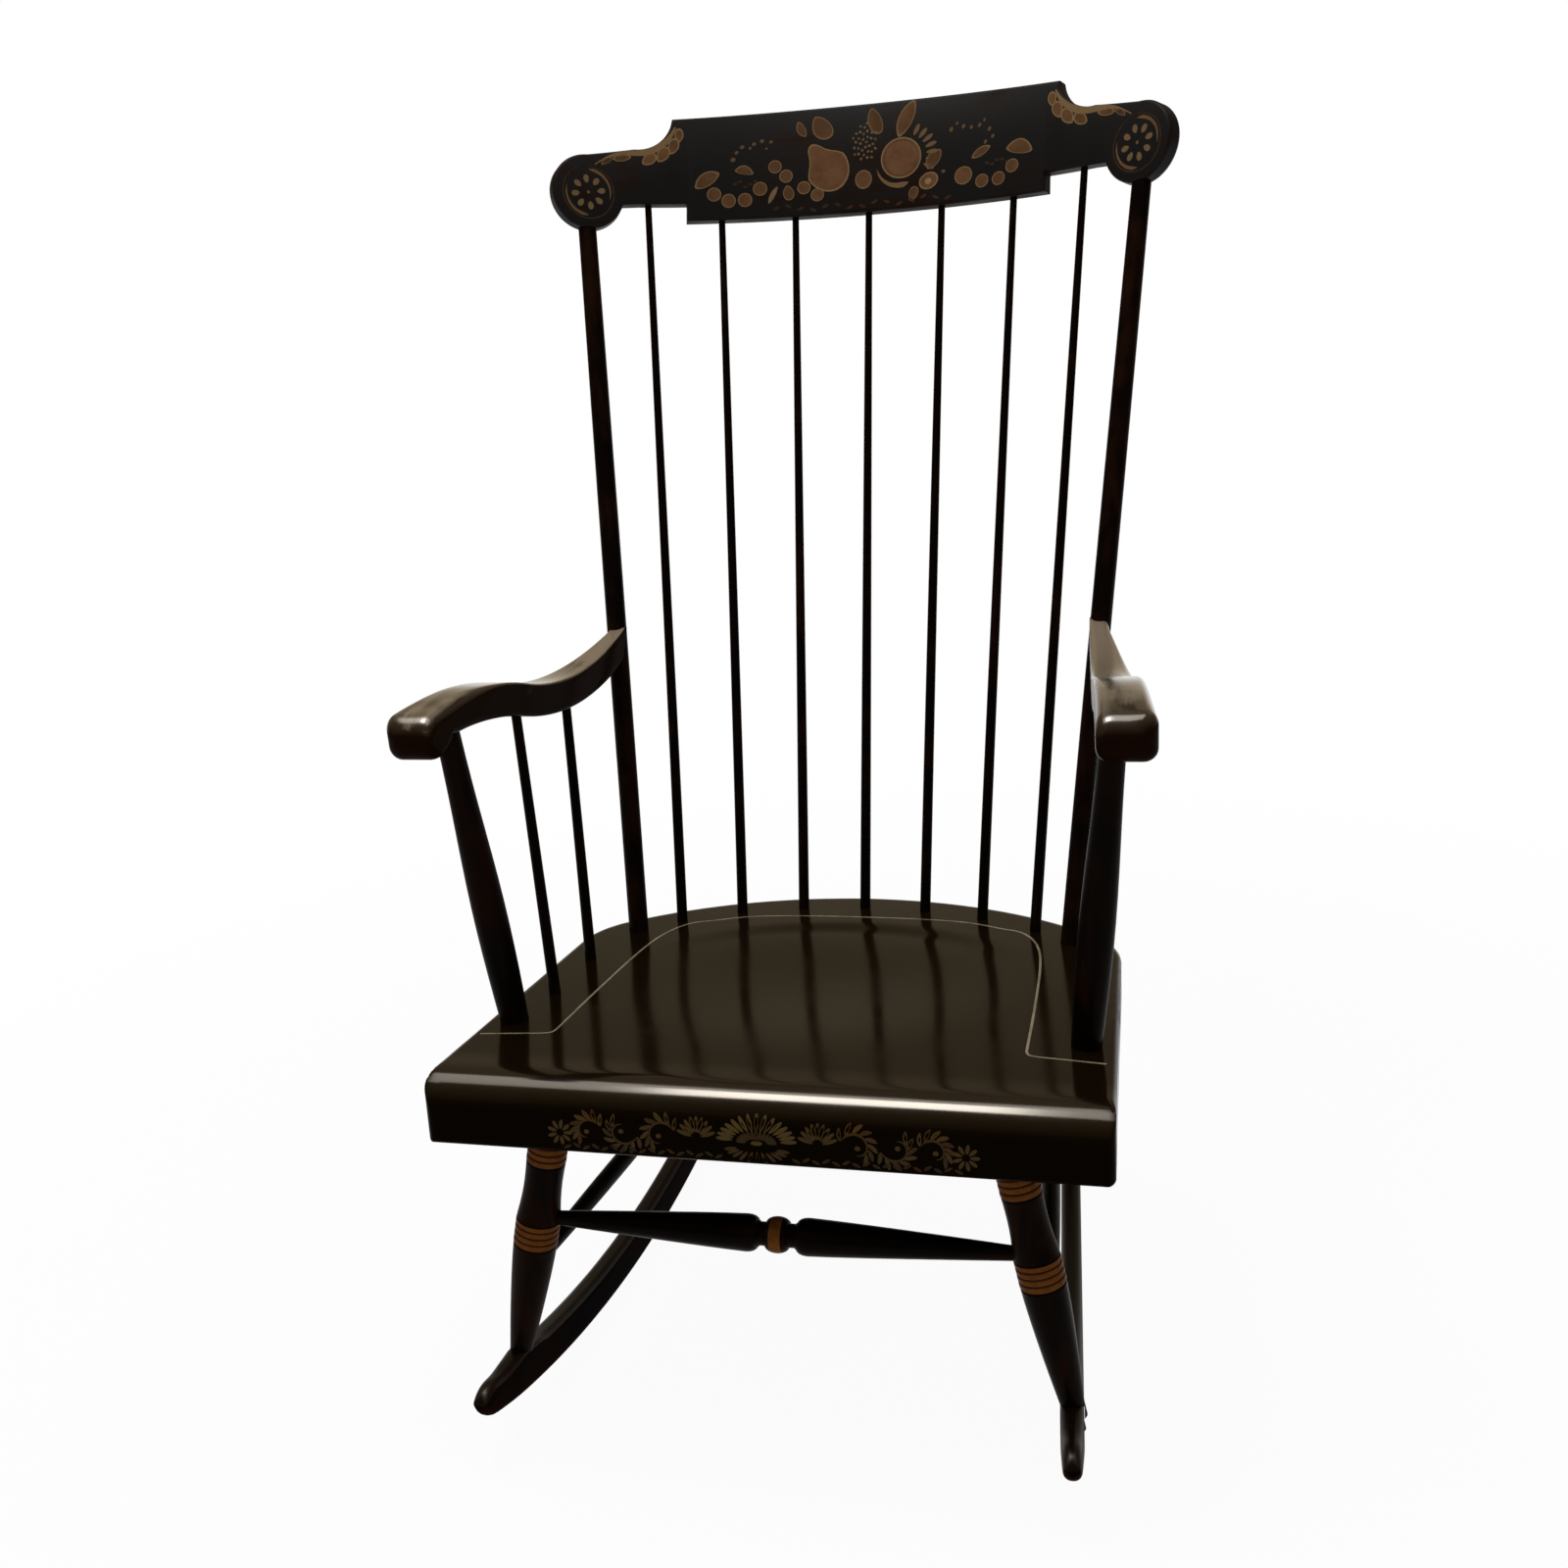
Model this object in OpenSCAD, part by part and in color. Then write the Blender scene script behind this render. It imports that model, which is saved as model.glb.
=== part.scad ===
// Rocking chair with a plank seat, turned legs, a spindle back and a bent crest rail.
// The front of the chair faces -Y, the floor is z = 0 and x = 0 is the plane of symmetry.
// Left and right are those of a person who sits in the chair, so left is +X.

/* [Seat] */
// Width across the seat at its front
seat_w = 536; // [520:2:556]
// Amount by which each side of the seat comes in from the front to the back
seat_taper = 10; // [0:1:14]
// Length of the seat from its front edge to its back edge
seat_l = 485; // [478:1:500]
// Thickness of the plank
seat_t = 42; // [38:1:48]
// Height of the seat's front edge above the floor
seat_h = 338; // [325:1:360]
// Slope of the seat down to the back, in degrees
seat_tilt = 4.5; // [3:0.5:6]
// Height of the rolled front edge
roll_h = 56; // [54:1:64]
// Depth of the rolled front edge from front to back
roll_l = 50; // [44:1:56]
// Radius of the rolled edge on top
roll_r = 34; // [20:1:36]
// Radius of the edge under the roll
roll_foot_r = 6; // [3:1:10]
// Radius of the back edge seen from above
seat_back_r = 331; // [320:1:350]
// Radius of the rounded back corners
seat_corner_r = 90; // [70:1:110]
// Radius of the front corners seen from above
seat_front_r = 12; // [6:1:18]
// Width of the hollow for the sitter
dish_w = 380; // [340:5:384]
// Depth of the hollow for the sitter
dish_d = 5; // [3:0.5:8]
// Distance from the front edge to the middle of the hollow
dish_v = 252; // [244:1:258]

/* [Back] */
// Distance of the spindle row from the back edge of the seat
row_in = 33; // [28:1:38]
// Angle from one spindle to the next along the row, in degrees
row_step = 12; // [11.6:0.1:12.4]
// Angle of the back posts from the seat's side, in degrees
post_a = 45; // [43:0.5:46]
// Length of the middle spindle between the seat and the crest rail
back_l = 693; // [660:1:720]
// Backward lean of the middle spindle, in degrees
back_lean = 17.9; // [16:0.1:20]
// Diameter of a spindle at the seat
spin_d1 = 10.4; // [9:0.1:12]
// Diameter of a spindle at the crest rail
spin_d2 = 6.6; // [6:0.1:8]
// Diameter of a back post at the seat
post_d1 = 19; // [17:0.5:22]
// Diameter of a back post at the crest rail
post_d2 = 17.6; // [16:0.2:19]

/* [Crest rail] */
// Radius of the bend, at the front face
crest_r = 482; // [450:1:520]
// Thickness of the rail
crest_t = 16; // [14:0.5:19]
// Backward lean of the rail, in degrees
crest_lean = 17; // [15:0.5:19]
// Half width of the tall middle panel at its top
panel_x = 193.5; // [186:0.5:200]
// Height of the tall panel at its middle
panel_h = 105.5; // [98:0.5:112]
// Drop of the panel's top edge from its middle to its ends
panel_drop = 12; // [6:0.5:16]
// Half width of the panel at its bottom
panel_foot_x = 179.5; // [174:0.5:186]
// Drop of the panel's bottom edge from its middle to its ends
foot_drop = 6; // [2:0.5:8]
// Height of the step from the panel's bottom end up to the shoulder
step_h = 17; // [12:0.5:22]
// Radius of the hollow above the shoulder
hollow_r = 35; // [28:0.5:40]
// Place of the ear's middle along the bent rail
ear_s = 279; // [272:1:288]
// Height of the ear's middle
ear_h = 16; // [12:0.5:20]
// Radius of the ear
ear_r = 36; // [34:0.5:40]
// Length of the shoulder's lower edge from the panel to the ear's slope
shoulder_l = 44; // [36:1:50]
// Drop of the shoulder's lower edge from the panel to the ear's slope
shoulder_drop = 3; // [1:0.5:5]
// Distance from one spindle to the next along the bent rail
crest_pitch = 73; // [70:0.5:75]

/* [Arms] */
// Distance from the seat up the back post to the arm
arm_up = 283; // [265:1:300]
// Thickness of the arm
arm_t = 29; // [26:0.5:32]
// Width of the arm where it meets the post
arm_w = 17; // [15:0.5:18]
// Distance from the post to the lowest place of the arm
dip_y = 98; // [85:1:110]
// Radius of the dip, on top
dip_r = 327; // [300:1:350]
// Distance from the post to the highest place of the arm
top_y = 316; // [306:1:326]
// Rise from the lowest to the highest place
arm_rise = 35; // [30:0.5:38]
// Radius of the rolled front end
scroll_r = 19; // [18:0.5:21]
// Distance from the highest place to the middle of the rolled end
scroll_y = 36; // [32:1:42]
// Sideways reach of the arm's outer edge from the post
arm_out = 61; // [54:0.5:66]
// How far the arm's outer edge bulges between the post and the front
arm_bulge = 7; // [0:0.5:8]
// Sideways reach of the arm's inner edge at the front
arm_in = 17; // [12:0.5:19]
// Distance from the arm's inner edge to the middle of the arm post
arm_post_in = 14; // [13:0.5:18]
// Distance from the arm's inner edge to the middle of an arm spindle
arm_spin_in = 12; // [9:0.5:15]
// Radius of the arm's outer front corner seen from above
arm_corner_r1 = 18; // [10:1:20]
// Radius of the arm's inner front corner seen from above
arm_corner_r2 = 5; // [3:1:8]
// Place of the arm post along the arm, from the back post
arm_post_y = 320; // [314:1:326]
// Place of the front arm spindle along the arm, from the back post
arm_spin_y1 = 208; // [198:1:218]
// Place of the rear arm spindle along the arm, from the back post
arm_spin_y2 = 112; // [104:1:120]
// Place of the arm post on the seat, from the front edge
base_v0 = 126; // [116:1:136]
// Place of the front arm spindle on the seat, from the front edge
base_v1 = 190; // [180:1:200]
// Place of the rear arm spindle on the seat, from the front edge
base_v2 = 279; // [270:1:288]
// Distance from the seat's side edge to the arm post
base_in = 28; // [24:1:32]
// Distance from the seat's side edge to the arm spindles
spin_in = 39; // [34:1:44]
// Diameter of the arm post at its foot
arm_post_d1 = 24; // [21:0.5:26]
// Diameter of the arm post at its thickest place
arm_post_d2 = 28; // [26:0.5:31]
// Diameter of the arm post at its top
arm_post_d3 = 20; // [17:0.5:22]
// Share of the arm post's height from the seat to its thickest place
arm_swell_t = 0.35; // [0.28:0.01:0.45]
// Diameter of the arm spindles at the seat
arm_spin_d1 = 10.4; // [9:0.1:12]
// Diameter of the arm spindles at the arm
arm_spin_d2 = 8.6; // [8:0.1:10]

/* [Legs] */
// Distance from the seat's side edge to the front legs
leg_in1 = 85; // [80:1:94]
// Distance from the seat's side edge to the rear legs
leg_in2 = 118; // [108:1:126]
// Distance from the front edge to the front legs
leg_v1 = 64; // [60:1:70]
// Distance from the front edge to the rear legs
leg_v2 = 392; // [380:1:402]
// Diameter of the leg above its lower rings
leg_d1 = 33; // [30:0.5:35]
// Diameter of the leg at its lower rings
leg_d2 = 37; // [36:0.5:40]
// Diameter of the leg at the rocker
leg_d3 = 20; // [18:0.5:22]
// Share of the leg's length from the seat to its upper rings
ring_t1 = 0.14; // [0.12:0.01:0.18]
// Share of the leg's length from the seat to its lower rings
ring_t2 = 0.465; // [0.45:0.005:0.5]
// Width of one turned ring on a leg
ring_w = 4.4; // [4:0.1:6]
// Width of the groove between rings
groove_w = 1.4; // [1:0.1:2]
// Depth of the grooves between rings
groove_d = 0.9; // [0.5:0.1:1.4]

/* [Stretchers] */
// Greatest diameter of the front stretcher
front_d = 30; // [26:0.5:33]
// Diameter of the middle bead of the front stretcher
bead_d = 29; // [25:0.5:32]
// Diameter of the necks beside the bead
neck_d = 19; // [16:0.5:22]
// Distance from the middle of the bead to its side
bead_w = 9.5; // [8:0.5:11]
// Distance from the middle of the bead to the outer end of its neck
neck_x = 14.5; // [13:0.5:16]
// Distance from the middle of the bead to the stretcher's thickest place
swell_x = 26; // [23:0.5:32]
// Diameter of the plain stretchers at their middle
plain_d = 17; // [15:0.5:20]
// Diameter of every stretcher at its ends
end_d = 12; // [11:0.5:13]
// Share of the leg's length from the seat to the front stretcher
front_t = 0.46; // [0.42:0.01:0.5]
// Share of the leg's length from the seat to the side stretcher, front leg
side_t1 = 0.67; // [0.66:0.01:0.7]
// Share of the leg's length from the seat to the side stretcher, rear leg
side_t2 = 0.67; // [0.66:0.01:0.7]
// Share of the leg's length from the seat to the rear stretcher
rear_t = 0.48; // [0.42:0.01:0.5]

/* [Rockers] */
// Radius of the rocker's lower edge
rock_r = 950; // [880:10:1050]
// Height of the rocker
rock_h = 36; // [34:0.5:40]
// Thickness of the rocker
rock_w = 19; // [17:0.5:22]
// Rounding of the rocker's long edges
rock_edge = 3; // [1:0.5:5]
// Distance of the rocker's lowest place behind the seat's front edge
rock_v = 260.8; // [245:0.2:275]
// Distance from the seat's side edge to the rockers' lowest place
rock_in = 53.5; // [48:0.5:60]
// Inward turn of the rockers to the back, in degrees
rock_toe = 4.3; // [3:0.1:5]
// Length of the rocker forward of its lowest place
rock_front = 300; // [296:1:320]
// Length of the rocker behind its lowest place
rock_rear = 412; // [380:1:430]
// Rounding on top of the rocker's ends
nose_r1 = 22; // [16:1:24]
// Rounding under the rocker's ends
nose_r2 = 12; // [6:1:12]
// Place of the front legs along the rocker, forward of its lowest place
foot_front = 226; // [218:1:236]
// Place of the rear legs along the rocker, behind its lowest place
foot_rear = 182; // [172:1:192]

/* [Joints] */
// Clearance around every tenon and shoulder
fit = 0.12; // [0.1:0.01:0.2]
// Depth of a tenon in the seat
seat_tenon = 26; // [22:1:30]
// Diameter of the leg tenon in the seat
leg_tenon_d = 24; // [20:0.5:26]
// Depth of the leg's shoulder in the seat
sink = 6; // [5:0.5:8]
// Diameter of the tenon in the rocker
foot_tenon_d = 12; // [10:0.5:13]
// Depth of the tenon in the rocker
foot_tenon = 24; // [22:0.5:26]
// Diameter of the post's tenon in the ear
ear_tenon_d = 10; // [9:0.5:11]
// Diameter of the post's tenon in the seat
post_tenon_d = 14; // [12:0.5:15]
// Depth of the post's tenon in the ear
ear_tenon = 26; // [22:1:30]
// Depth of a spindle in the crest rail
crest_tenon = 18; // [15:0.5:22]
// Diameter of the arm post's tenon in the arm
arm_tenon_d = 13; // [11:0.5:14]
// Depth of the arm post's tenon in the arm
arm_tenon = 15; // [12:0.5:17]
// Depth of the arm post's shoulder in the arm
arm_sink = 3; // [2:0.5:4]
// Diameter of the arm's tenon in the back post
back_tenon_d = 9; // [8:0.5:9.5]
// Depth of the arm's tenon in the back post
back_tenon = 10; // [9:0.5:11]
// Depth of a stretcher in a leg
rung_tenon = 12; // [10:0.5:13]
// Diameter of the wooden pins
pin_d = 4.4; // [4:0.1:5]
// Wood left in front of the pin in the crest rail
pin_wall = 2.5; // [2:0.5:4]
// Diameter of the screw that holds the arm
screw_d = 3.6; // [3:0.1:4]
// Length of the screw in the arm
screw_l = 24; // [20:1:30]
// Diameter of the screw's head
screw_head_d = 7.6; // [7:0.1:8.4]
// Thickness of the screw's head
screw_head_t = 2.4; // [2:0.1:3]

/* [Hidden] */
$fn = 72;
black = "#1d1612";
brown = "#2a1a13";
worn = "#4a4038";
gold = "#a87a3c";
far = 900;
lap = 20;
over = 60;
skin = 0.3;
seat_front_y = -330.2;
rock_y = seat_front_y + rock_v;
half_w = seat_w / 2;
leg_x = [half_w - leg_in1, half_w - leg_in2];
rock_x = half_w - rock_in;

// Points of the chair, worked out from the sizes above
function unit(a) = a / norm(a);
function mid(p, q, t) = p + (q - p) * t;
function deck(x, v, w = 0) = [x,
    seat_front_y + v * cos(seat_tilt) + w * sin(seat_tilt),
    seat_h - v * sin(seat_tilt) + w * cos(seat_tilt)];
row_v = seat_l - seat_back_r;
row_r = seat_back_r - row_in;
function row(a) = deck(row_r * cos(a), row_v + row_r * sin(a));
crest_o = row(90) + back_l * [0, sin(back_lean), cos(back_lean)];
crest_mid_r = crest_r + crest_t / 2;
function crest_a(s) = s / crest_r * 180 / PI;
function bent(s, h) = let (a = crest_a(s), y = crest_mid_r * (cos(a) - 1))
    [crest_mid_r * sin(a),
     crest_o[1] + y * cos(crest_lean) + h * sin(crest_lean),
     crest_o[2] - y * sin(crest_lean) + h * cos(crest_lean)];
function foot_edge(x) = -foot_drop * pow(x / panel_foot_x, 2);
post_foot = row(post_a);
post_head = bent(ear_s, ear_h - ear_r);
post_dir = unit(post_head - post_foot);
arm_o = post_foot + post_dir * arm_up;
post_r_arm = (post_d1 + (post_d2 - post_d1) * arm_up / norm(post_head - post_foot)) / 2;
arm_y0 = arm_o[1] - post_r_arm;

// Side shape of the arm: a dip and a hump that meet without a kink, and a rolled end
dip_z = arm_t / 2 - (dip_r - sqrt(dip_r * dip_r - dip_y * dip_y));
reach = top_y - dip_y;
hump_r = (reach * reach + pow(dip_r - arm_rise, 2) - dip_r * dip_r) / (2 * arm_rise);
dip_c = [-dip_y, dip_z + dip_r];
hump_c = [-top_y, dip_z + arm_rise - hump_r];
scroll_a = asin(scroll_y / (hump_r - scroll_r));
scroll_c = hump_c + (hump_r - scroll_r) * [-sin(scroll_a), cos(scroll_a)];
arm_end = scroll_c[0] - scroll_r;
function bend(t) = dip_c + (hump_c - dip_c) * (dip_r + t) / (dip_r + hump_r);
function arm_z(y, t) = y > bend(t)[0]
    ? dip_c[1] - sqrt(pow(dip_r + t, 2) - pow(y - dip_c[0], 2))
    : hump_c[1] + sqrt(pow(hump_r - t, 2) - pow(y - hump_c[0], 2));
function arm_inner(y) = -arm_w / 2 + (arm_in + arm_w / 2) * y / scroll_c[0];
function arm_outer(y) = let (t = y / (arm_end + arm_corner_r1))
    arm_w / 2 + (arm_out - arm_w / 2) * t + arm_bulge * 6.75 * t * (1 - t) * (1 - t);
function arm_pt(y, in) = [arm_o[0] + arm_inner(-y) + in, arm_y0 - y, arm_o[2] + arm_z(-y, arm_t)];
arm_post_head = arm_pt(arm_post_y, arm_post_in);
arm_post_foot = deck(half_w - base_in, base_v0);
arm_spin_head = [arm_pt(arm_spin_y1, arm_spin_in), arm_pt(arm_spin_y2, arm_spin_in)];
arm_spin_foot = [deck(half_w - spin_in, base_v1), deck(half_w - spin_in, base_v2)];

// Points on the rockers and ends of the legs
function rock_top(q) = rock_r - sqrt(pow(rock_r - rock_h, 2) - q * q);
function on_rocker(q) = [rock_x - q * sin(rock_toe), rock_y + q * cos(rock_toe), rock_top(q)];
leg_head = [deck(leg_x[0], leg_v1, -seat_t), deck(leg_x[1], leg_v2, -seat_t)];
leg_foot = [on_rocker(-foot_front), on_rocker(foot_rear)];
leg_len = [norm(leg_foot[0] - leg_head[0]), norm(leg_foot[1] - leg_head[1])];
front_end = mid(leg_head[0], leg_foot[0], front_t);
rear_end = mid(leg_head[1], leg_foot[1], rear_t);
side_end = [mid(leg_head[0], leg_foot[0], side_t1), mid(leg_head[1], leg_foot[1], side_t2)];
function flip(p) = [-p[0], p[1], p[2]];

// Places a child that stands on z = 0 so that it runs from p to q
module along(p, q) {
    d = q - p;
    translate(p)
    rotate([0, acos(d[2] / norm(d)), atan2(d[1], d[0])])
    children();
}

// Bar of round section from p to q, longer by e1 and e2 at its ends
module bar(p, q, r, e1 = 0, e2 = 0) {
    along(p, q)
    translate([0, 0, -e1])
    cylinder(r = r, h = norm(q - p) + e1 + e2);
}

// Turned piece with a plain end at both sides and a profile of radii over its length
module turned(p, q, e1, e2, radii) {
    l = norm(q - p);
    n = len(radii) - 1;
    along(p, q)
    rotate_extrude()
    polygon(concat([[0, -e1], [radii[0], -e1]],
        [for (i = [0:n]) [radii[i], l * i / n]],
        [[radii[n], l + e2], [0, l + e2]]));
}

// Seat
module seat_outline() {
    corner_x = half_w - seat_taper - seat_corner_r;
    corner_v = row_v + sqrt(pow(seat_back_r - seat_corner_r, 2) - corner_x * corner_x);
    reach_v = corner_v - row_v;
    side_a = atan(seat_taper / (corner_v - seat_front_r));
    side_x = corner_x + seat_corner_r * cos(side_a);
    side_v = corner_v + seat_corner_r * sin(side_a);
    polygon([[-half_w, seat_front_r], [half_w, seat_front_r], [side_x, side_v], [-side_x, side_v]]);
    translate([-half_w + seat_front_r, 0])
    square([seat_w - 2 * seat_front_r, 2 * seat_front_r]);
    for (s = [-1, 1]) {
        translate([s * (half_w - seat_front_r), seat_front_r])
        circle(seat_front_r);
        translate([s * corner_x, corner_v])
        circle(seat_corner_r, $fn = 180);
    }
    intersection() {
        translate([0, row_v])
        circle(seat_back_r, $fn = 720);
        polygon([[0, row_v], [2 * corner_x, row_v + 2 * reach_v],
            [-2 * corner_x, row_v + 2 * reach_v]]);
    }
}

module seat_side() {
    translate([roll_r, -seat_t])
    square([seat_l, seat_t]);
    intersection() {
        translate([roll_r, -roll_r])
        circle(roll_r, $fn = 120);
        translate([0, -roll_r])
        square(roll_r);
    }
    translate([0, -roll_h + roll_foot_r])
    square([roll_l, roll_h - roll_foot_r - roll_r]);
    translate([roll_foot_r, -roll_h])
    square([roll_l - roll_foot_r, roll_h / 2]);
    translate([roll_foot_r, -roll_h + roll_foot_r])
    circle(roll_foot_r);
    polygon([[roll_l - 1, -roll_h], [roll_l, -roll_h],
        [roll_l + roll_h - seat_t, -seat_t], [roll_l + roll_h - seat_t, -seat_t + 1],
        [roll_l - 1, -seat_t + 1]]);
}

module seat_hollow() {
    r = dish_w * dish_w / 8 / dish_d + dish_d / 2;
    translate([0, dish_v, 0])
    rotate_extrude($fn = 180)
    intersection() {
        translate([0, r - dish_d])
        circle(r, $fn = 3600);
        translate([0, -dish_d - 1])
        square([dish_w / 2 + 1, dish_d + 2]);
    }
}

module on_seat() {
    translate([0, seat_front_y, seat_h])
    rotate([-seat_tilt, 0, 0])
    children();
}

module seat_sockets() {
    for (i = [0, 1]) {
        bar(leg_foot[i], leg_head[i], leg_d1 / 2 + fit, -leg_len[i] / 2, sink + fit);
        bar(leg_foot[i], leg_head[i], leg_tenon_d / 2 + fit, -leg_len[i] / 2, seat_tenon + 1);
        bar(arm_spin_head[i], arm_spin_foot[i], arm_spin_d1 / 2 + fit, 0, seat_tenon / 2);
    }
    bar(arm_post_head, arm_post_foot, arm_post_d1 / 2 + fit, -arm_up / 2, sink + fit);
    bar(arm_post_head, arm_post_foot, arm_tenon_d / 2 + fit, 0, seat_tenon + 1);
    bar(post_head, post_foot, post_d1 / 2 + fit, -back_l / 2, sink + fit);
    bar(post_head, post_foot, post_tenon_d / 2 + fit, 0, seat_tenon + 1);
}

module seat() {
    color(black)
    difference() {
        on_seat()
        intersection() {
            translate([0, 0, -roll_h - 1])
            linear_extrude(roll_h + 2)
            seat_outline();
            translate([-half_w - 1, 0, 0])
            rotate([90, 0, 90])
            linear_extrude(seat_w + 2)
            seat_side();
        }
        on_seat()
        seat_hollow();
        seat_sockets();
        mirror([1, 0, 0])
        seat_sockets();
        for (i = [-3:3])
            bar(spindle_head(i), spindle_foot(i), spin_d1 / 2 + fit, 0, seat_tenon);
    }
}

// Back spindles, counted from the right of the sitter to the left
function spindle_foot(i) = row(90 - i * row_step);
function spindle_head(i) = let (p = bent(i * crest_pitch, 0))
    bent(i * crest_pitch, abs(p[0]) > panel_foot_x
        ? foot_edge(panel_foot_x) + step_h : foot_edge(p[0]));
spindle_radii = [for (i = [0:10]) let (t = i / 10)
    spin_d1 / 2 + (spin_d2 - spin_d1) / 2 * pow(t, 1.2)];

module spindle(i) {
    color(black)
    turned(spindle_foot(i), spindle_head(i), seat_tenon - 1, crest_tenon - 1, spindle_radii);
}

// Crest rail
module crest_frame() {
    translate(crest_o)
    rotate([-crest_lean, 0, 0])
    children();
}

function arc(c, r, a1, a2, n) =
    [for (i = [0:n]) let (a = a1 + (a2 - a1) * i / n) c + r * [cos(a), sin(a)]];

function crest_half() = let (
    foot_z = foot_edge(panel_foot_x) + step_h,
    ear_x = crest_mid_r * sin(crest_a(ear_s)),
    edge_z = panel_h - panel_drop,
    lift = 3,
    hollow_c = [panel_x + hollow_r, edge_z + lift])
    concat([for (i = [0:6]) [panel_x * i / 6, panel_h - panel_drop * pow(i / 6, 2)]],
        arc(hollow_c, hollow_r, 180 + asin(lift / hollow_r), 270, 9),
        [[ear_x, ear_h + ear_r - 1], [ear_x, foot_z - shoulder_drop - 2],
            [panel_foot_x + shoulder_l, foot_z - shoulder_drop], [panel_foot_x, foot_z]],
        [for (i = [5:-1:0]) let (x = panel_foot_x * i / 5) [x, foot_edge(x)]]);

module crest_outline() {
    half = crest_half();
    n = len(half) - 1;
    polygon(concat(half, [for (i = [n - 1:-1:1]) [-half[i][0], half[i][1]]]));
}

module ear_disc(s, r) {
    rotate([0, 0, -s * crest_a(ear_s)])
    translate([0, crest_r - over / 2, ear_h])
    rotate([-90, 0, 0])
    cylinder(r = r, h = crest_t + over, $fn = 144);
}

module crest_blank() {
    crest_frame()
    translate([0, -crest_mid_r, 0])
    intersection() {
        translate([0, 0, ear_h - ear_r - 10])
        difference() {
            cylinder(r = crest_r + crest_t, h = panel_h + over, $fn = 720);
            translate([0, 0, -1])
            cylinder(r = crest_r, h = panel_h + over + 2, $fn = 720);
        }
        union() {
            translate([0, crest_mid_r + over, 0])
            rotate([90, 0, 0])
            linear_extrude(far / 3)
            crest_outline();
            for (s = [-1, 1])
                ear_disc(s, ear_r);
        }
    }
}

module crest_pin(s, g = 0) {
    crest_frame()
    translate([0, -crest_mid_r, 0])
    rotate([0, 0, -s * crest_a(ear_s)])
    translate([0, crest_r + pin_wall - g, ear_h - ear_r + ear_tenon / 2])
    rotate([-90, 0, 0])
    cylinder(d = pin_d + 2 * g, h = crest_t - pin_wall + g + (g > 0 ? lap : 0));
}

module ear_socket() {
    bar(post_foot, post_head, ear_tenon_d / 2 + fit, 0, ear_tenon + 1);
}

module crest_rail() {
    color(black)
    difference() {
        crest_blank();
        for (i = [-3:3])
            bar(spindle_foot(i), spindle_head(i), spin_d2 / 2 + fit, -back_l / 2, crest_tenon);
        ear_socket();
        mirror([1, 0, 0])
        ear_socket();
        for (s = [-1, 1])
            crest_pin(s, fit);
    }
}

// Back posts
post_radii = [for (i = [0:8]) let (t = i / 8)
    post_d1 / 2 + (post_d2 - post_d1) / 2 * t + 0.5 * sin(180 * t)];

module crest_cope() {
    crest_frame()
    translate([0, -crest_mid_r, 0])
    ear_disc(1, ear_r + fit);
}

module back_post() {
    difference() {
        union() {
            difference() {
                turned(post_foot, post_head, sink, 12, post_radii);
                crest_cope();
            }
            bar(post_foot, post_head, ear_tenon_d / 2, -lap, ear_tenon);
            bar(post_head, post_foot, post_tenon_d / 2, -lap, seat_tenon);
        }
        translate([arm_o[0], arm_y0 - lap, arm_o[2]])
        rotate([-90, 0, 0])
        cylinder(d = back_tenon_d + 2 * fit, h = back_tenon + lap + 1);
        arm_screw(fit);
        crest_pin(1, fit);
    }
}

// Arms
module arm_side() {
    d = hump_r - scroll_r;
    b = acos((d * d + scroll_r * scroll_r - pow(hump_r - arm_t, 2)) / (2 * d * scroll_r));
    scroll = arc(scroll_c, scroll_r, 90 + scroll_a, 270 + scroll_a + b, 20);
    y1 = scroll[0][0];
    y2 = scroll[20][0];
    polygon(concat(
        [for (i = [0:23]) let (y = mid(lap, y1, i / 24)) [y, arm_z(y, 0)]],
        scroll,
        [for (i = [1:24]) let (y = mid(y2, lap, i / 24)) [y, arm_z(y, arm_t)]]));
}

module arm_plan() {
    r1 = arm_corner_r1;
    r2 = arm_corner_r2;
    y1 = arm_end + r1;
    polygon(concat(
        [[arm_inner(lap), lap]],
        [for (i = [0:15]) let (y = mid(lap, y1, i / 16)) [arm_outer(y), y]],
        arc([arm_outer(y1) - r1, y1], r1, 0, -90, 6),
        arc([arm_inner(arm_end) + r2, arm_end + r2], r2, -90, -180, 3)));
}

module arm_screw(g = 0) {
    out = g > 0 ? lap : 0;
    back_y = arm_o[1] + post_r_arm - skin;
    translate([arm_o[0], back_y + out, arm_o[2]])
    rotate([90, 0, 0]) {
        cylinder(d = screw_head_d + 2 * g, h = screw_head_t + g + out);
        cylinder(d = screw_d + 2 * g, h = 2 * post_r_arm + screw_l + g + out);
    }
}

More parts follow.
